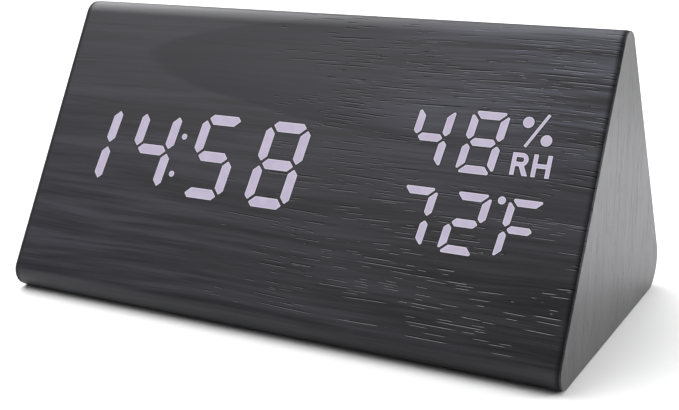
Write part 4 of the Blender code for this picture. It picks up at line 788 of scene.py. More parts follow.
def push_button(name, column, mark, finish):
    """Button: stem, flange and a cap with a dished face, with a small raised mark in the dish."""
    centre = np.array([CONTROL_MIDDLE + BUTTON_PITCH * column, BUTTON_HEIGHT])
    flange, flange_top, flange_foot = BUTTON_FLANGE
    stem, stem_end = BUTTON_STEM
    shares = np.linspace(1.0, 0.0, DISH_STEPS + 1)[1:]
    dish = [((BUTTON_RADIUS - BUTTON_SOFT) * s, BUTTON_PROUD - BUTTON_DISH * (1 - s * s)) for s in shares]
    profile = [(0.0, stem_end), (stem, stem_end), (stem, flange_foot), (flange, flange_foot),
               (flange, flange_top), (BUTTON_RADIUS, flange_top),
               *soft_edge(BUTTON_RADIUS, BUTTON_PROUD, BUTTON_SOFT), *dish]
    floor = BUTTON_PROUD - 2 * BUTTON_DISH
    top = BUTTON_PROUD - BUTTON_DISH + MARK_RISE
    levels = ((0.0, floor, 0.0), (0.0, top - MARK_RISE / 2, 1.0), (MARK_RISE / 2, top, 1.0))
    patches = [turned(profile, centre, on_panel), tile(lambda inset: mark(centre, inset), levels, on_panel)]
    piece(f"button_{name}_cap", patches, finish, f"{name}_button", [f"button_{name}"])


def triangle_mark(direction):
    """Outline of an arrowhead that points up or down."""
    angle = np.radians([90.0, 210.0, 330.0])
    corners = MARK_REACH * pairs(np.cos(angle), np.sin(angle)) * direction

    def outline(centre, inset):
        """The triangle about a centre, moved inward by inset."""
        return rounded(corners + centre, MARK_SOFT, inset, 3)
    return outline


def bar_mark(centre, inset):
    """Outline of a short level bar."""
    half = np.array([MARK_REACH, MARK_REACH / 4])
    return rounded(box_corners(*-half, *half) + centre, MARK_SOFT, inset, 3)


def power_inlet(black, steel):
    """Inlet: a square body that closes in to a round snout with a deep bore, and the pin in it."""
    ray = circle((0.0, 0.0), 1.0, sides=SOCKET_SIDES)
    square = ray / np.abs(ray).max(1, keepdims=True) * SOCKET_HALF
    profile = [(SOCKET_SNOUT, SOCKET_COVER), *soft_edge(SOCKET_SNOUT, SOCKET_LIP, SOCKET_SOFT),
               *soft_edge(SOCKET_BORE, SOCKET_LIP, SOCKET_SOFT, inward=False)[::-1],
               (SOCKET_BORE, SOCKET_BOTTOM), (0.0, SOCKET_BOTTOM)]
    rings = [0.0 * ray, square, square] + [radius * ray for radius, height in profile]
    heights = [SOCKET_FLOOR, SOCKET_FLOOR, SOCKET_COVER] + [height for radius, height in profile]
    patch = stacked([ring + SOCKET_SPOT for ring in rings], heights, on_panel)
    piece("power_inlet", [patch], black, replaced=["power_socket"])
    foot, tip = PIN_ENDS
    profile = [(0.0, foot), (PIN_RADIUS, foot), *soft_edge(PIN_RADIUS, tip, PIN_RADIUS * 0.9), (0.0, tip)]
    patch = turned(profile, SOCKET_SPOT, on_panel, 24)
    piece("power_inlet_pin", [patch], steel, replaced=["power_pin"])


def battery_cell(number, row, finish):
    """Cell: a sleeve drawn over both ends of a can, a shallow dish at its foot and a nub at its head."""
    direction = 1.0 if number % 2 else -1.0
    start = DOOR_MIDDLE + direction * (SPRING_LENGTH + CONTACT_GAP - SPRING_SEAT)
    sleeve = [(SLEEVE_EDGE, 0.0), *soft_edge(CELL_RADIUS, 0.0, CELL_RIM, up=False)[::-1],
              *soft_edge(CELL_RADIUS, CELL_CAN, CELL_RIM), (SLEEVE_EDGE, CELL_CAN)]
    head = [*CELL_HEAD, *soft_edge(CELL_NUB, CELL_LENGTH, NUB_SOFT), (0.0, CELL_LENGTH)]
    bare = np.concatenate((np.ones(len(CELL_FOOT)), np.zeros(len(sleeve)), np.ones(len(head))))
    place = along_tray(row, CELL_DEPTH, start, direction)
    patch = turned(CELL_FOOT + sleeve + head, (0.0, 0.0), place, rim=bare)
    piece(f"cell_{number}", [patch], finish, replaced=[f"battery_cell_{number}"])


def battery_spring(number, row, finish):
    """Cone-shaped coil: a circle carried along a helix whose radius shrinks, nearly flat at both ends.

    The rise along the coil is its share of the turns less a sine wave of that share, so that it starts and
    ends level.
    """
    direction = 1.0 if number % 2 else -1.0
    share = np.linspace(0.0, 1.0, TURN_STEPS * SPRING_TURNS + 1)
    angle = 2 * math.pi * SPRING_TURNS * share
    wide, narrow = SPRING_RADII
    radius = wide + (narrow - wide) * share
    rise = share - SPRING_LEVEL * np.sin(2 * math.pi * share) / (2 * math.pi)
    line = np.stack((radius * np.cos(angle), radius * np.sin(angle),
                     SPRING_WIRE + (SPRING_LENGTH - 2 * SPRING_WIRE) * rise), -1)
    tangent = np.gradient(line, axis=0)
    tangent /= np.linalg.norm(tangent, axis=1, keepdims=True)
    out = np.stack((np.cos(angle), np.sin(angle), np.zeros_like(angle)), -1)
    out -= tangent * np.sum(out * tangent, 1, keepdims=True)
    out /= np.linalg.norm(out, axis=1, keepdims=True)
    side = np.cross(tangent, out)
    turn = np.linspace(0.0, 2 * math.pi, WIRE_SIDES, endpoint=False)[None, :, None]
    tube = line[:, None] + SPRING_WIRE * (np.cos(turn) * out[:, None] + np.sin(turn) * side[:, None])
    place = along_tray(row, CELL_DEPTH, DOOR_MIDDLE - direction * SPRING_SEAT, direction)
    patch = Patch(capped(place(tube[..., 0], tube[..., 1], tube[..., 2])), closed=True)
    piece(f"cell_spring_{number}", [patch], finish, replaced=[f"battery_spring_{number}"])


def rear(finishes):
    """Every finer piece on and behind the rear panel."""
    softened("back_panel", "rear_panel", finishes["panel_plastic"], PANEL_SOFT)
    battery_door(finishes["panel_plastic"])
    for number, (spot, turn) in enumerate(zip(SCREW_SPOTS, SCREW_TURNS), start=1):
        panel_screw(number, np.array(spot), turn, finishes["screw_black"])
    marks = (bar_mark, triangle_mark(1.0), triangle_mark(-1.0))
    for column, (name, mark) in enumerate(zip(("set", "up", "down"), marks), start=-1):
        push_button(name, column, mark, finishes["button_plastic"])
    power_inlet(finishes["black_plastic"], finishes["plated_steel"])
    for number, row in enumerate(CELL_ROWS, start=1):
        battery_cell(number, row, finishes["cell_sleeve"])
        battery_spring(number, row, finishes["plated_steel"])


SOLID_FINISHES = {
    "fibreboard": ["body_tube", "end_plug_left", "end_plug_right"],
    "black_plastic": ["time_display_housing", "climate_display_housing", "switch_set", "switch_up",
                      "switch_down", "buzzer", "controller_chip"],
    "circuit_board": ["display_board", "control_board"],
    "plated_steel": ["battery_contact_negative", "battery_contact_positive", "battery_bridge_left",
                     "battery_bridge_right", "quartz_crystal", *(f"control_board_screw_{k}" for k in (1, 2)),
                     *(f"display_board_screw_{k}" for k in (1, 2, 3, 4))],
    "sensor_plastic": ["climate_sensor"],
    "ribbon_grey": ["ribbon_cable"],
    "black_wire": ["battery_wire_negative"],
    "red_wire": ["battery_wire_positive"],
}


def dress_solids(finishes):
    """Gives every solid that stays in the scene its finish."""
    for slot, names in SOLID_FINISHES.items():
        for name in names:
            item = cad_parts[name]
            item.data.materials.clear()
            item.data.materials.append(finishes[slot])


# Finishes

class Graph:
    """Short way to lay out the nodes of one tree."""

    def __init__(self, tree):
        self.tree = tree

    def node(self, kind, inputs=None, **settings):
        """New node. Each input is linked to a socket or set to a value."""
        made = self.tree.nodes.new(kind)
        for key, value in settings.items():
            setattr(made, key, value)
        for key, value in (inputs or {}).items():
            if isinstance(value, bpy.types.NodeSocket):
                self.tree.links.new(value, made.inputs[key])
            else:
                made.inputs[key].default_value = value
        return made

    def math(self, operation, *values):
        """One value worked out from others."""
        return self.node("ShaderNodeMath", dict(enumerate(values)), operation=operation).outputs[0]

    def product(self, total, *values):
        """Product of values."""
        for value in values:
            total = self.math("MULTIPLY", total, value)
        return total

    def sum(self, *terms, start=0.0):
        """Sum of values, each times its own weight, from a start."""
        for value, weight in terms:
            start = self.math("MULTIPLY_ADD", value, weight, start)
        return start

    def spot(self):
        """Place in the row frame, in metres."""
        return self.node("ShaderNodeTexCoord").outputs["Object"]

    def split(self, vector):
        """Coordinates of a place, by their letters."""
        return self.node("ShaderNodeSeparateXYZ", {0: vector}).outputs

    def stretched(self, vector, scale):
        """Vector times a scale, the same along all axes or given for each."""
        scale = (scale,) * 3 if isinstance(scale, float) else scale
        return self.node("ShaderNodeVectorMath", {0: vector, 1: scale}, operation="MULTIPLY").outputs[0]

    def noise(self, vector, scale, detail=2.0, roughness=0.5):
        """Soft noise, with as many cells to a unit as its scale says."""
        place = self.stretched(vector, scale)
        inputs = {"Vector": place, "Scale": 1.0, "Detail": detail, "Roughness": roughness}
        return self.node("ShaderNodeTexNoise", inputs).outputs["Fac"]

    def ramp(self, value, low, high, start=0.0, end=1.0):
        """Smooth step from start to end as a value goes from low to high."""
        inputs = {"Value": value, "From Min": low, "From Max": high, "To Min": start, "To Max": end}
        return self.node("ShaderNodeMapRange", inputs, interpolation_type="SMOOTHSTEP").outputs["Result"]

    def mix(self, share, first, second):
        """Colour on the way from a first one to a second one."""
        return self.node("ShaderNodeMix", {0: share, 6: first, 7: second}, data_type="RGBA").outputs[2]

    def bump(self, strength, depth, height):
        """Normal of a relief."""
        inputs = {"Strength": strength, "Distance": depth, "Height": height}
        return self.node("ShaderNodeBump", inputs).outputs[0]


def grey(level, tint=1.0):
    """Grey with a little more or less blue."""
    return (level, level, level * tint, 1.0)


# Darker and paler colour of the print, then single colours of the film
WRAP_PRINT = (grey(0.008, 1.6), grey(0.033, 1.36))
# painted shade: the print darker low on the front and to its right
PAINTED_SHADE_PRINT = (grey(0.004, 1.4), grey(0.022, 1.36))
# livelier print with painted light: paler high up on the right of the front
LIVELY_PAINTED_LIGHT_PRINT = (grey(0.003, 1.36), grey(0.096, 1.36))
END_PRINT = (grey(0.006, 1.1), grey(0.028, 1.1))
# painted light: the paler band across the middle of an end
PAINTED_LIGHT_BAND_PRINT = (grey(0.042, 1.1), grey(0.090, 1.1))
CALM_TONE = grey(0.52)
FIGURE_TONE = grey(0.006, 2.0)
# dark cut ends of the wrap, and painted shade along its lower front edge
TRIM_AND_FOOT_SHADE_TONE = grey(0.003, 1.2)
LINE_TONE = grey(0.005, 1.2)
# painted shade in the groove of a pore
GROOVE_SHADE_TONE = grey(0.002, 1.2)
# painted highlight on the lit lower lip of a pore
LIP_HIGHLIGHT_TONE = grey(0.62, 1.05)

# Darker and paler colour, range of roughness, pebbles to the millimetre, relief, and 1 for bare metal
MOULDED = {
    "panel_plastic": (grey(0.014, 1.05), grey(0.019, 1.05), (0.48, 0.56), 5.0, 0.035 * MM),
    "button_plastic": (grey(0.020, 1.05), grey(0.030, 1.05), (0.32, 0.40), 3.0, 0.006 * MM),
    "black_plastic": (grey(0.010), grey(0.018), (0.36, 0.48), 4.0, 0.015 * MM),
    "sensor_plastic": (grey(0.66), grey(0.76), (0.45, 0.55), 4.0, 0.015 * MM),
    "plated_steel": (grey(0.55, 0.97), grey(0.72, 0.97), (0.20, 0.34), 7.0, 0.004 * MM, 1.0),
    "screw_black": (grey(0.06), grey(0.11), (0.30, 0.42), 7.0, 0.006 * MM, 1.0),
    "black_wire": (grey(0.012), grey(0.020), (0.40, 0.50), 3.0, 0.008 * MM),
    "red_wire": ((0.36, 0.016, 0.016, 1.0), (0.48, 0.028, 0.024, 1.0), (0.40, 0.50), 3.0, 0.008 * MM),
}


def group(name, inputs, outputs):
    """Empty shader node group with named sockets. Returns it with its graph and its two end nodes."""
    tree = bpy.data.node_groups.new(name, "ShaderNodeTree")
    for socket, kind, value in inputs:
        made = tree.interface.new_socket(socket, in_out="INPUT", socket_type=kind)
        if value is not None:
            made.default_value = value
    for socket in outputs:
        tree.interface.new_socket(socket, in_out="OUTPUT", socket_type="NodeSocketFloat")
    graph = Graph(tree)
    return tree, graph, graph.node("NodeGroupInput").outputs, graph.node("NodeGroupOutput").inputs


def pores(graph, vector, share, pitch, run, half_width, seed):
    """Short grooves laid one to a cell in wandering rows.

    A cell is one pitch high and one run long, and its row is moved along by a random length. Random numbers
    of the cell say whether it holds a groove, and how high, how long and how slanted that groove is. Returns
    the groove, its lit lower lip and its surroundings.
    """
    place = graph.split(vector)
    height = graph.math("DIVIDE", place["Y"], pitch)
    row = graph.math("FLOOR", height)
    offset = graph.node("ShaderNodeTexWhiteNoise", {"W": graph.math("ADD", row, seed)}, noise_dimensions="1D")
    along = graph.sum((place["X"], 1.0 / run), (offset.outputs["Value"], PORE_SLIDE))
    column = graph.math("FLOOR", along)
    cell = graph.node("ShaderNodeCombineXYZ", {"X": row, "Y": column, "Z": seed}).outputs[0]
    chance = graph.node("ShaderNodeTexWhiteNoise", {"Vector": cell}, noise_dimensions="3D").outputs
    level, slant, length = graph.node("ShaderNodeSeparateColor", {0: chance["Color"]}).outputs
    from_middle = graph.sum((graph.math("FRACT", along), 1.0), (slant, PORE_EARLY), start=-PORE_MIDDLE)
    tilt = graph.product(graph.math("SUBTRACT", slant, PORE_MIDDLE), from_middle)
    centre = graph.sum((level, PORE_LEVEL[1]), (tilt, PORE_TILT), start=PORE_LEVEL[0])
    aside = graph.product(graph.math("SUBTRACT", graph.math("FRACT", height), centre), pitch)
    reach = graph.sum((length, PORE_REACH[1]), start=PORE_REACH[0])
    present = graph.math("LESS_THAN", chance["Value"], share)
    taper = graph.ramp(graph.math("ABSOLUTE", from_middle), reach, graph.product(reach, 0.5))
    held = graph.product(present, taper)
    off_line = graph.math("ABSOLUTE", aside)
    groove = graph.ramp(off_line, GROOVE_SPREAD * half_width, 0.0)
    below = graph.math("ADD", aside, LIP_PLACE * half_width)
    lip = graph.ramp(graph.math("ABSOLUTE", below), LIP_SPREAD * half_width, 0.0)
    near = graph.ramp(off_line, CLEAR_SPREAD * half_width, 0.8 * CLEAR_SPREAD * half_width)
    taken = graph.product(graph.math("GREATER_THAN", held, 0.0), near)
    return graph.product(held, groove), graph.product(held, lip), taken


def wood_grain_group():
    """Grain of the printed film, with the grain along X and distances in millimetres.

    Tone is the soft print: broad bands, streaks and fine lines, which wander a little. Line is a long thin
    dark streak. Light Tick and Dark Tick are the two sides of the short embossed pores, the lit lower lip and
    the groove; the film colours them with a painted highlight and painted shade. Height is the relief.
    """
    sides = ("Tone", "Line", "Light Tick", "Dark Tick", "Height")
    tree, graph, given, made = group(
        "wood_grain", [("Vector", "NodeSocketVector", None), ("Tick Share", "NodeSocketFloat", 0.3)], sides)
    wander = graph.noise(given["Vector"], *GRAIN_NOISE["wander"])
    bend = graph.product(graph.math("SUBTRACT", wander, 0.5), GRAIN_BEND)
    shift = graph.node("ShaderNodeCombineXYZ", {"Y": bend}).outputs[0]
    vector = graph.node("ShaderNodeVectorMath", {0: given["Vector"], 1: shift}, operation="ADD").outputs[0]
    broad, streak, fine, line, patchy = (
        graph.noise(vector, *GRAIN_NOISE[name]) for name in ("broad", "streak", "fine", "line", "patchy"))
    tone = graph.sum((broad, 0.40), (streak, 0.38), (fine, 0.22))
    line = graph.ramp(line, *LINE_STEP)
    share = graph.product(given["Tick Share"], graph.ramp(patchy, *PATCHY_STEP))
    short, long = (pores(graph, vector, share, *layer) for layer in PORE_LAYERS)
    clear = graph.math("SUBTRACT", 1.0, long[2])
    dark, light = (graph.math("MULTIPLY_ADD", short[k], clear, long[k]) for k in (0, 1))
    relief = graph.sum((fine, 0.10), (streak, 0.10), (dark, -1.0))
    for name, value in zip(sides, (tone, line, light, dark, relief)):
        tree.links.new(value, made[name])
    return tree


def material(name):
    """New material with its graph and its Principled shader."""
    made = bpy.data.materials.new(name)
    made.use_nodes = True
    return made, Graph(made.node_tree), made.node_tree.nodes["Principled BSDF"]


def connect(graph, shader, **sockets):
    """Links sockets to the shader's inputs or sets these to values. An underscore stands for a space."""
    for name, value in sockets.items():
        socket = shader.inputs[name.replace("_", " ")]
        if isinstance(value, bpy.types.NodeSocket):
            graph.tree.links.new(value, socket)
        else:
            socket.default_value = value


def film_chart(graph, shift=(0.0, 0.0, 0.0), fineness=1.0):
    """Place on the film in millimetres, along the grain and across it, where the grain may be finer."""
    chart = graph.node("ShaderNodeUVMap", uv_map="grain").outputs[0]
    scale = np.array([1.0, fineness, 1.0]) * GRAIN_UNIT / MM
    return graph.node("ShaderNodeMapping", {"Vector": chart, "Scale": scale, "Location": shift}).outputs[0]


def arrowhead(graph, chart):
    """Soft darker figure in the grain: a parabola lying on its side, open to the right.

    A place lies inside by its distance past the tip, less the square of its distance from the middle line.
    """
    ragged = graph.noise(chart, (0.05, 0.22, 1.0))
    place = graph.split(chart)
    past = graph.math("SUBTRACT", place["X"], FIGURE_TIP[0])
    away = graph.math("DIVIDE", graph.math("SUBTRACT", place["Y"], FIGURE_TIP[1]), FIGURE_OPENING)
    inside = graph.math("SUBTRACT", past, graph.product(away, away))
    inside = graph.sum((inside, 1.0), (ragged, FIGURE_RAGGED), start=-FIGURE_RAGGED / 2)
    return graph.product(graph.ramp(inside, *FIGURE_EDGE), graph.ramp(inside, *FIGURE_FADE, 1.0, 0.25))


def contrast(graph, tone, grooves):
    """Shade of the print from its tone, the reverse of that shade, and the roughness of the film."""
    shade = graph.ramp(tone, 0.35, 0.65)
    rough = graph.sum((graph.ramp(tone, 0.3, 0.7, 0.42, 0.52), 1.0), (grooves, 0.4))
    return shade, graph.math("SUBTRACT", 1.0, shade), rough


def printed(graph, shade, share, first, second):
    """Print between a darker and a paler colour, which go from a first pair to a second one."""
    dark, pale = (graph.mix(share, *colours) for colours in zip(first, second))
    return graph.mix(shade, dark, pale)


def wrap_look(graph, chart, wood):
    """Wrap: darker low on its front with painted shade, calmer high up and paler there with painted light,
    with a figure in the grain, dark cut edges, and painted shade along its lower front edge and its crest.
    """
    out = wood.outputs
    place = graph.split(chart)
    mask = {name: graph.product(*(graph.ramp(place[axis], *step) for axis, *step in steps))
            for name, steps in WRAP_MASKS.items()}
    trim = graph.ramp(graph.math("ABSOLUTE", place["X"]), *TRIM)
    # the cut ends of the wrap, and painted shade along the lower front edge
    edges = graph.math("MAXIMUM", trim, mask["foot"])
    share = graph.ramp(place["X"], *PORE_STEP, 0.0, PORE_SHARE)
    share = graph.sum((share, 1.0), (mask["lit"], -0.2), (mask["high"], 0.2))
    share = graph.product(share, graph.ramp(graph.math("ABSOLUTE", place["Y"]), *PORE_FOOT))
    graph.tree.links.new(share, wood.inputs["Tick Share"])
    tone = graph.mix(graph.product(mask["calm"], 0.5), out["Tone"], CALM_TONE)
    shade, dull, rough = contrast(graph, tone, out["Dark Tick"])
    head = arrowhead(graph, chart)
    # painted shade: the print goes darker low on the front and to its right
    colour = printed(graph, shade, mask["painted_shade"], WRAP_PRINT, PAINTED_SHADE_PRINT)
    colour = graph.mix(graph.product(head, 0.55), colour, FIGURE_TONE)
    # painted light: the print paler and livelier high up on the right
    colour = graph.mix(graph.product(mask["high"], 0.75), colour, graph.mix(shade, *LIVELY_PAINTED_LIGHT_PRINT))
    colour = graph.mix(graph.product(edges, 0.65), colour, TRIM_AND_FOOT_SHADE_TONE)
    # painted highlight: the pale pore lips, strongest low on the right and stronger high up
    lips = graph.sum((mask["lit"], 0.58), (mask["high"], 0.24), start=0.24)
    lips = graph.product(lips, graph.math("SUBTRACT", 1.0, edges))
    rough = graph.sum((rough, 1.0), (trim, 0.3), (mask["painted_shade"], 0.06))
    # painted shade: duller streaks darkened through the metallic input, low on the front and more to its
    # right
    streaks = graph.product(dull, graph.sum((mask["painted_shade"], 0.28), (mask["low"], 0.08)))
    # dark through the metallic input: painted shade in the pore grooves, along the lower front edge, at the
    # crest and low on the front, with the cut ends and the figure of the print
    hollow = graph.sum((out["Dark Tick"], 0.9), (trim, 0.25), (mask["foot"], 0.12), (mask["crest_shade"], 0.4),
                       (streaks, 1.0), (head, 0.10))
    return colour, lips, rough, hollow


def end_look(graph, chart, wood):
    """Ends: paler across a slanting middle band with painted light, and darker towards the top edge with
    painted shade.
    """
    out = wood.outputs
    place = graph.split(chart)
    shift = END_GRAIN_SHIFT[0] + END_LEAN * END_GRAIN_SHIFT[1]
    height = graph.sum((place["X"], 1.0), (place["Y"], END_LEAN), start=-shift)
    # painted light: the paler slanting band across the end
    middle = graph.product(*(graph.ramp(height, *step) for step in PAINTED_BAND_STEPS))
    shade, dull, rough = contrast(graph, out["Tone"], out["Dark Tick"])
    colour = printed(graph, shade, middle, END_PRINT, PAINTED_LIGHT_BAND_PRINT)
    # dark through the metallic input: painted shade in the pore grooves and towards the top edge, with the
    # lines and duller print
    hollow = graph.sum((out["Dark Tick"], 0.8), (out["Line"], 0.30), (dull, 0.12),
                       (graph.ramp(height, *PAINTED_TOP_SHADE), 0.45))
    return colour, END_LIPS, rough, hollow


def film_finish(name, grain, look, shift=(0.0, 0.0, 0.0), fineness=1.0):
    """Black wood-grain film: satin, with soft streaks, fine lines and short embossed pores.

    Its look gives the colour of the print with its painted light and shade, the strength of the painted
    highlight on the pale lips, the roughness and the dark hollows, which are partly painted shade.
    """
    made, graph, shader = material(name)
    chart = film_chart(graph, shift, fineness)
    wood = graph.node("ShaderNodeGroup", {"Vector": chart}, node_tree=grain)
    out = wood.outputs
    colour, lips, rough, hollow = look(graph, chart, wood)
    colour = graph.mix(graph.product(out["Line"], 0.6), colour, LINE_TONE)
    # painted shade in the groove of each pore
    colour = graph.mix(graph.product(out["Dark Tick"], 0.85), colour, GROOVE_SHADE_TONE)
    # painted highlight on the lower lip of each pore
    colour = graph.mix(graph.product(out["Light Tick"], lips), colour, LIP_HIGHLIGHT_TONE)
    connect(graph, shader, Base_Color=colour, Roughness=rough, Metallic=graph.math("MINIMUM", hollow, 1.0),
            Normal=graph.bump(1.0, PORE_DEPTH, out["Height"]))
    return made


def rim_mask(graph):
    """Mask that a piece carries: the rim of a lit bar, the print of a mark or the bare metal of a cell."""
    return graph.node("ShaderNodeAttribute", attribute_name="rim").outputs["Fac"]


def lit_finish():
    """Lit bar: lavender light, whiter along its edge."""
    made, graph, shader = material("lit_segment")
    patchy = graph.ramp(graph.noise(graph.spot(), 300.0), 0.35, 0.65)
    core = graph.mix(patchy, (0.44, 0.385, 0.52, 1.0), (0.48, 0.425, 0.56, 1.0))
    glow = graph.mix(graph.ramp(rim_mask(graph), 0.0, 1.0), core, (0.66, 0.62, 0.73, 1.0))
    connect(graph, shader, Emission_Color=glow, Emission_Strength=1.0, Base_Color=(0.05, 0.05, 0.06, 1.0),
            Roughness=0.6)
    return made


def surround_finish():
    """Film that a lit bar darkens along its edge."""
    made, graph, shader = material("dark_surround")
    patchy = graph.noise(graph.spot(), 900.0)
    connect(graph, shader, Base_Color=graph.mix(patchy, grey(0.004, 1.1), grey(0.012, 1.1)), Roughness=0.6)
    return made


def moulded_group():
    """Texture of a moulded surface, in millimetres: Shade drifts slowly, Height is a fine pebble."""
    tree, graph, given, made = group(
        "moulded_texture", [("Vector", "NodeSocketVector", None), ("Pebble", "NodeSocketFloat", 4.0)],
        ("Shade", "Height"))
    drift = graph.noise(given["Vector"], 0.12, 3.0)
    fine = graph.noise(given["Vector"], given["Pebble"], 2.0, 0.6)
    tree.links.new(graph.sum((drift, 0.7), (fine, 0.3)), made["Shade"])
    tree.links.new(fine, made["Height"])
    return tree


def solid_chart(graph):
    """Place in the row frame, in millimetres."""
    return graph.stretched(graph.spot(), 1.0 / MM)


def moulded(name, texture, dark, light, rough, pebble, depth, metal=0.0):
    """Plain pressed or moulded finish between two colours, with its pebble as relief."""
    made, graph, shader = material(name)
    inputs = {"Vector": solid_chart(graph), "Pebble": pebble}
    shade, height = graph.node("ShaderNodeGroup", inputs, node_tree=texture).outputs
    connect(graph, shader, Base_Color=graph.mix(graph.ramp(shade, 0.35, 0.65), dark, light), Metallic=metal,
            Roughness=graph.ramp(shade, 0.3, 0.7, *rough), Normal=graph.bump(1.0, depth, height))
    return made


def print_marks(made):
    """Lays pale print over the raised mark of a finish."""
    graph = Graph(made.node_tree)
    shader = made.node_tree.nodes["Principled BSDF"]
    plastic = shader.inputs["Base Color"].links[0].from_socket
    connect(graph, shader, Base_Color=graph.mix(graph.ramp(rim_mask(graph), 0.3, 0.7), plastic, grey(0.55)))


def fibreboard_finish():
    """Pressed fibres: short brown flecks that lie along the board."""
    made, graph, shader = material("fibreboard")
    chart = solid_chart(graph)
    fleck = graph.noise(chart, (0.7, 2.6, 2.6), 3.0, 0.65)
    cloud = graph.noise(chart, 0.05)
    shade = graph.ramp(graph.sum((fleck, 0.7), (cloud, 0.3)), 0.38, 0.62)
    connect(graph, shader, Base_Color=graph.mix(shade, (0.20, 0.125, 0.065, 1.0), (0.42, 0.29, 0.17, 1.0)),
            Roughness=graph.ramp(fleck, 0.3, 0.7, 0.95, 0.8), Normal=graph.bump(0.6, 0.05 * MM, fleck))
    return made


def board_finish():
    """Circuit board: green mask over raised copper runs, which are stripes kept in some cells of a grid."""
    made, graph, shader = material("circuit_board")
    chart = solid_chart(graph)
    coarse = graph.stretched(chart, (0.18, 0.5, 0.1))
    cell = graph.node("ShaderNodeVectorMath", {0: coarse}, operation="FLOOR")
    chance = graph.node("ShaderNodeTexWhiteNoise", {"Vector": cell.outputs[0]}).outputs["Value"]
    stripe = graph.math("PINGPONG", graph.split(chart)["X"], 0.45)
    run = graph.product(graph.ramp(stripe, 0.20, 0.26), graph.math("GREATER_THAN", chance, 0.5))
    cloud = graph.noise(chart, 0.3)
    mask = graph.mix(cloud, (0.012, 0.085, 0.030, 1.0), (0.020, 0.115, 0.042, 1.0))
    connect(graph, shader, Base_Color=graph.mix(run, mask, (0.035, 0.19, 0.065, 1.0)),
            Roughness=graph.ramp(cloud, 0.3, 0.7, 0.30, 0.42), Normal=graph.bump(0.5, 0.04 * MM, run))
    return made


def ribbon_finish():
    """Flat cable: grey wires side by side with a groove between them, the outermost one red; painted shade
    darkens each groove.
    """
    made, graph, shader = material("ribbon_cable")
    chart = solid_chart(graph)
    across = graph.split(chart)["X"]
    wire = graph.ramp(graph.math("PINGPONG", across, 0.5), 0.0, 0.25)
    cloud = graph.noise(chart, 0.4)
    colour = graph.mix(cloud, grey(0.38), grey(0.46))
    edge = graph.math("LESS_THAN", across, RED_WIRE_EDGE)
    colour = graph.mix(edge, colour, (0.45, 0.04, 0.04, 1.0))
    # painted shade: darker grey in the grooves between the wires
    connect(graph, shader, Base_Color=graph.mix(wire, grey(0.16), colour),
            Roughness=graph.ramp(cloud, 0.3, 0.7, 0.5, 0.62), Normal=graph.bump(1.0, 0.15 * MM, wire))
    return made


def cell_finish():
    """Cell: a plain slate sleeve with a pale ring near its head, and bare plated ends."""
    made, graph, shader = material("cell_sleeve")
    bare = rim_mask(graph)
    along = graph.split(film_chart(graph))["X"]
    ring = graph.ramp(graph.math("ABSOLUTE", graph.math("SUBTRACT", along, CELL_RING)), 0.95, 0.85)
    foil = graph.noise(solid_chart(graph), (0.2, 1.2, 1.2))
    sleeve = graph.mix(foil, (0.055, 0.060, 0.075, 1.0), (0.085, 0.092, 0.112, 1.0))
    colour = graph.mix(bare, graph.mix(ring, sleeve, grey(0.55)), grey(0.68, 0.97))
    connect(graph, shader, Base_Color=colour, Metallic=graph.ramp(bare, 0.4, 0.6),
            Roughness=graph.ramp(foil, 0.3, 0.7, 0.28, 0.40))
    return made


def solid_finishes():
    """Finishes of everything but the film and the lit bars, by the name of their slot."""
    texture = moulded_group()
    finishes = {name: moulded(name, texture, *values) for name, values in MOULDED.items()}
    print_marks(finishes["button_plastic"])
    return {**finishes, "fibreboard": fibreboard_finish(), "circuit_board": board_finish(),
            "ribbon_grey": ribbon_finish(), "cell_sleeve": cell_finish()}


# Studio

def staged(name, data, place=(0.0, 0.0, 0.0), target=None):
    """Object of the studio at a place, its -Z pointed at a target."""
    item = bpy.data.objects.new(name, data)
    bpy.context.scene.collection.objects.link(item)
    item.location = place
    if target is not None:
        item.rotation_mode = "QUATERNION"
        item.rotation_quaternion = (Vector(target) - Vector(place)).to_track_quat("-Z", "Y")


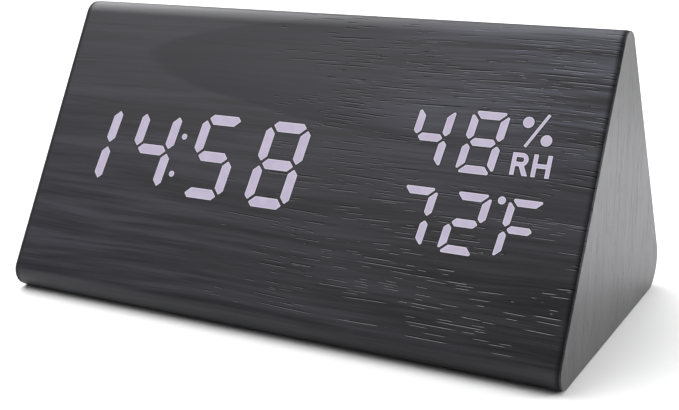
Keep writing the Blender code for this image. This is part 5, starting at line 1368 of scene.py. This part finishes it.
def studio():
    """Pale floor, soft lights from above and from the right, and a dim surround, white to the camera."""
    floor = bpy.data.meshes.new("floor")
    corners = np.array([[-1.0, -1.0, 0.0], [1.0, -1.0, 0.0], [1.0, 1.0, 0.0], [-1.0, 1.0, 0.0]]) * FLOOR_REACH
    floor.from_pydata(corners.tolist(), [], [[0, 1, 2, 3]])
    paint, graph, shader = material("floor_paint")
    mottle = graph.noise(graph.spot(), 6.0)
    connect(graph, shader, Base_Color=graph.mix(mottle, grey(0.95), grey(0.97)), Roughness=0.6)
    floor.materials.append(paint)
    staged("floor", floor)

    world = bpy.data.worlds.new("studio")
    world.use_nodes = True
    graph = Graph(world.node_tree)
    seen = graph.node("ShaderNodeLightPath").outputs["Is Camera Ray"]
    strength = graph.ramp(seen, 0.0, 1.0, WORLD_STRENGTH, 1.0)
    connect(graph, world.node_tree.nodes["Background"], Color=(1.0, 1.0, 1.0, 1.0), Strength=strength)
    bpy.context.scene.world = world

    sky = bpy.data.lights.new("overhead", "SUN")
    sky.energy = SKY_POWER
    sky.angle = SKY_ANGLE
    staged("overhead", sky, SKY_PLACE, (0.0, 0.0, 0.0))
    for name, (place, size, power) in LAMPS.items():
        light = bpy.data.lights.new(name, "AREA")
        light.shape = "RECTANGLE"
        light.size, light.size_y = size
        light.energy = power
        staged(name, light, place, LAMP_TARGET)


def camera():
    """Camera on a sphere round its target, rolled about its own axis."""
    data = bpy.data.cameras.new("camera")
    data.lens = CAMERA_LENS
    data.sensor_width = SENSOR
    data.clip_start, data.clip_end = 0.01, 20.0
    item = bpy.data.objects.new("camera", data)
    bpy.context.scene.collection.objects.link(item)
    out, up = math.cos(CAMERA_ELEVATION), math.sin(CAMERA_ELEVATION)
    away = Vector((math.sin(CAMERA_AZIMUTH) * out, -math.cos(CAMERA_AZIMUTH) * out, up))
    item.location = Vector(CAMERA_TARGET) + away * CAMERA_DISTANCE
    item.rotation_mode = "QUATERNION"
    roll = Matrix.Rotation(CAMERA_ROLL, 3, "Z").to_quaternion()
    item.rotation_quaternion = (-away).to_track_quat("-Z", "Y") @ roll
    bpy.context.scene.camera = item


def main():
    """Builds every piece with its finish, then the studio and the camera."""
    grain = wood_grain_group()
    film = film_finish("wood_grain_film", grain, wrap_look)
    end = film_finish("wood_grain_film_end", grain, end_look, END_GRAIN_SHIFT, END_FINENESS)
    wrap_film(film)
    for side, sign in (("left", -1.0), ("right", 1.0)):
        end_film(side, sign, end)
    lit_display(lit_finish(), surround_finish())
    finishes = solid_finishes()
    rear(finishes)
    dress_solids(finishes)
    studio()
    camera()
    bpy.context.scene.view_settings.view_transform = "Standard"


main()
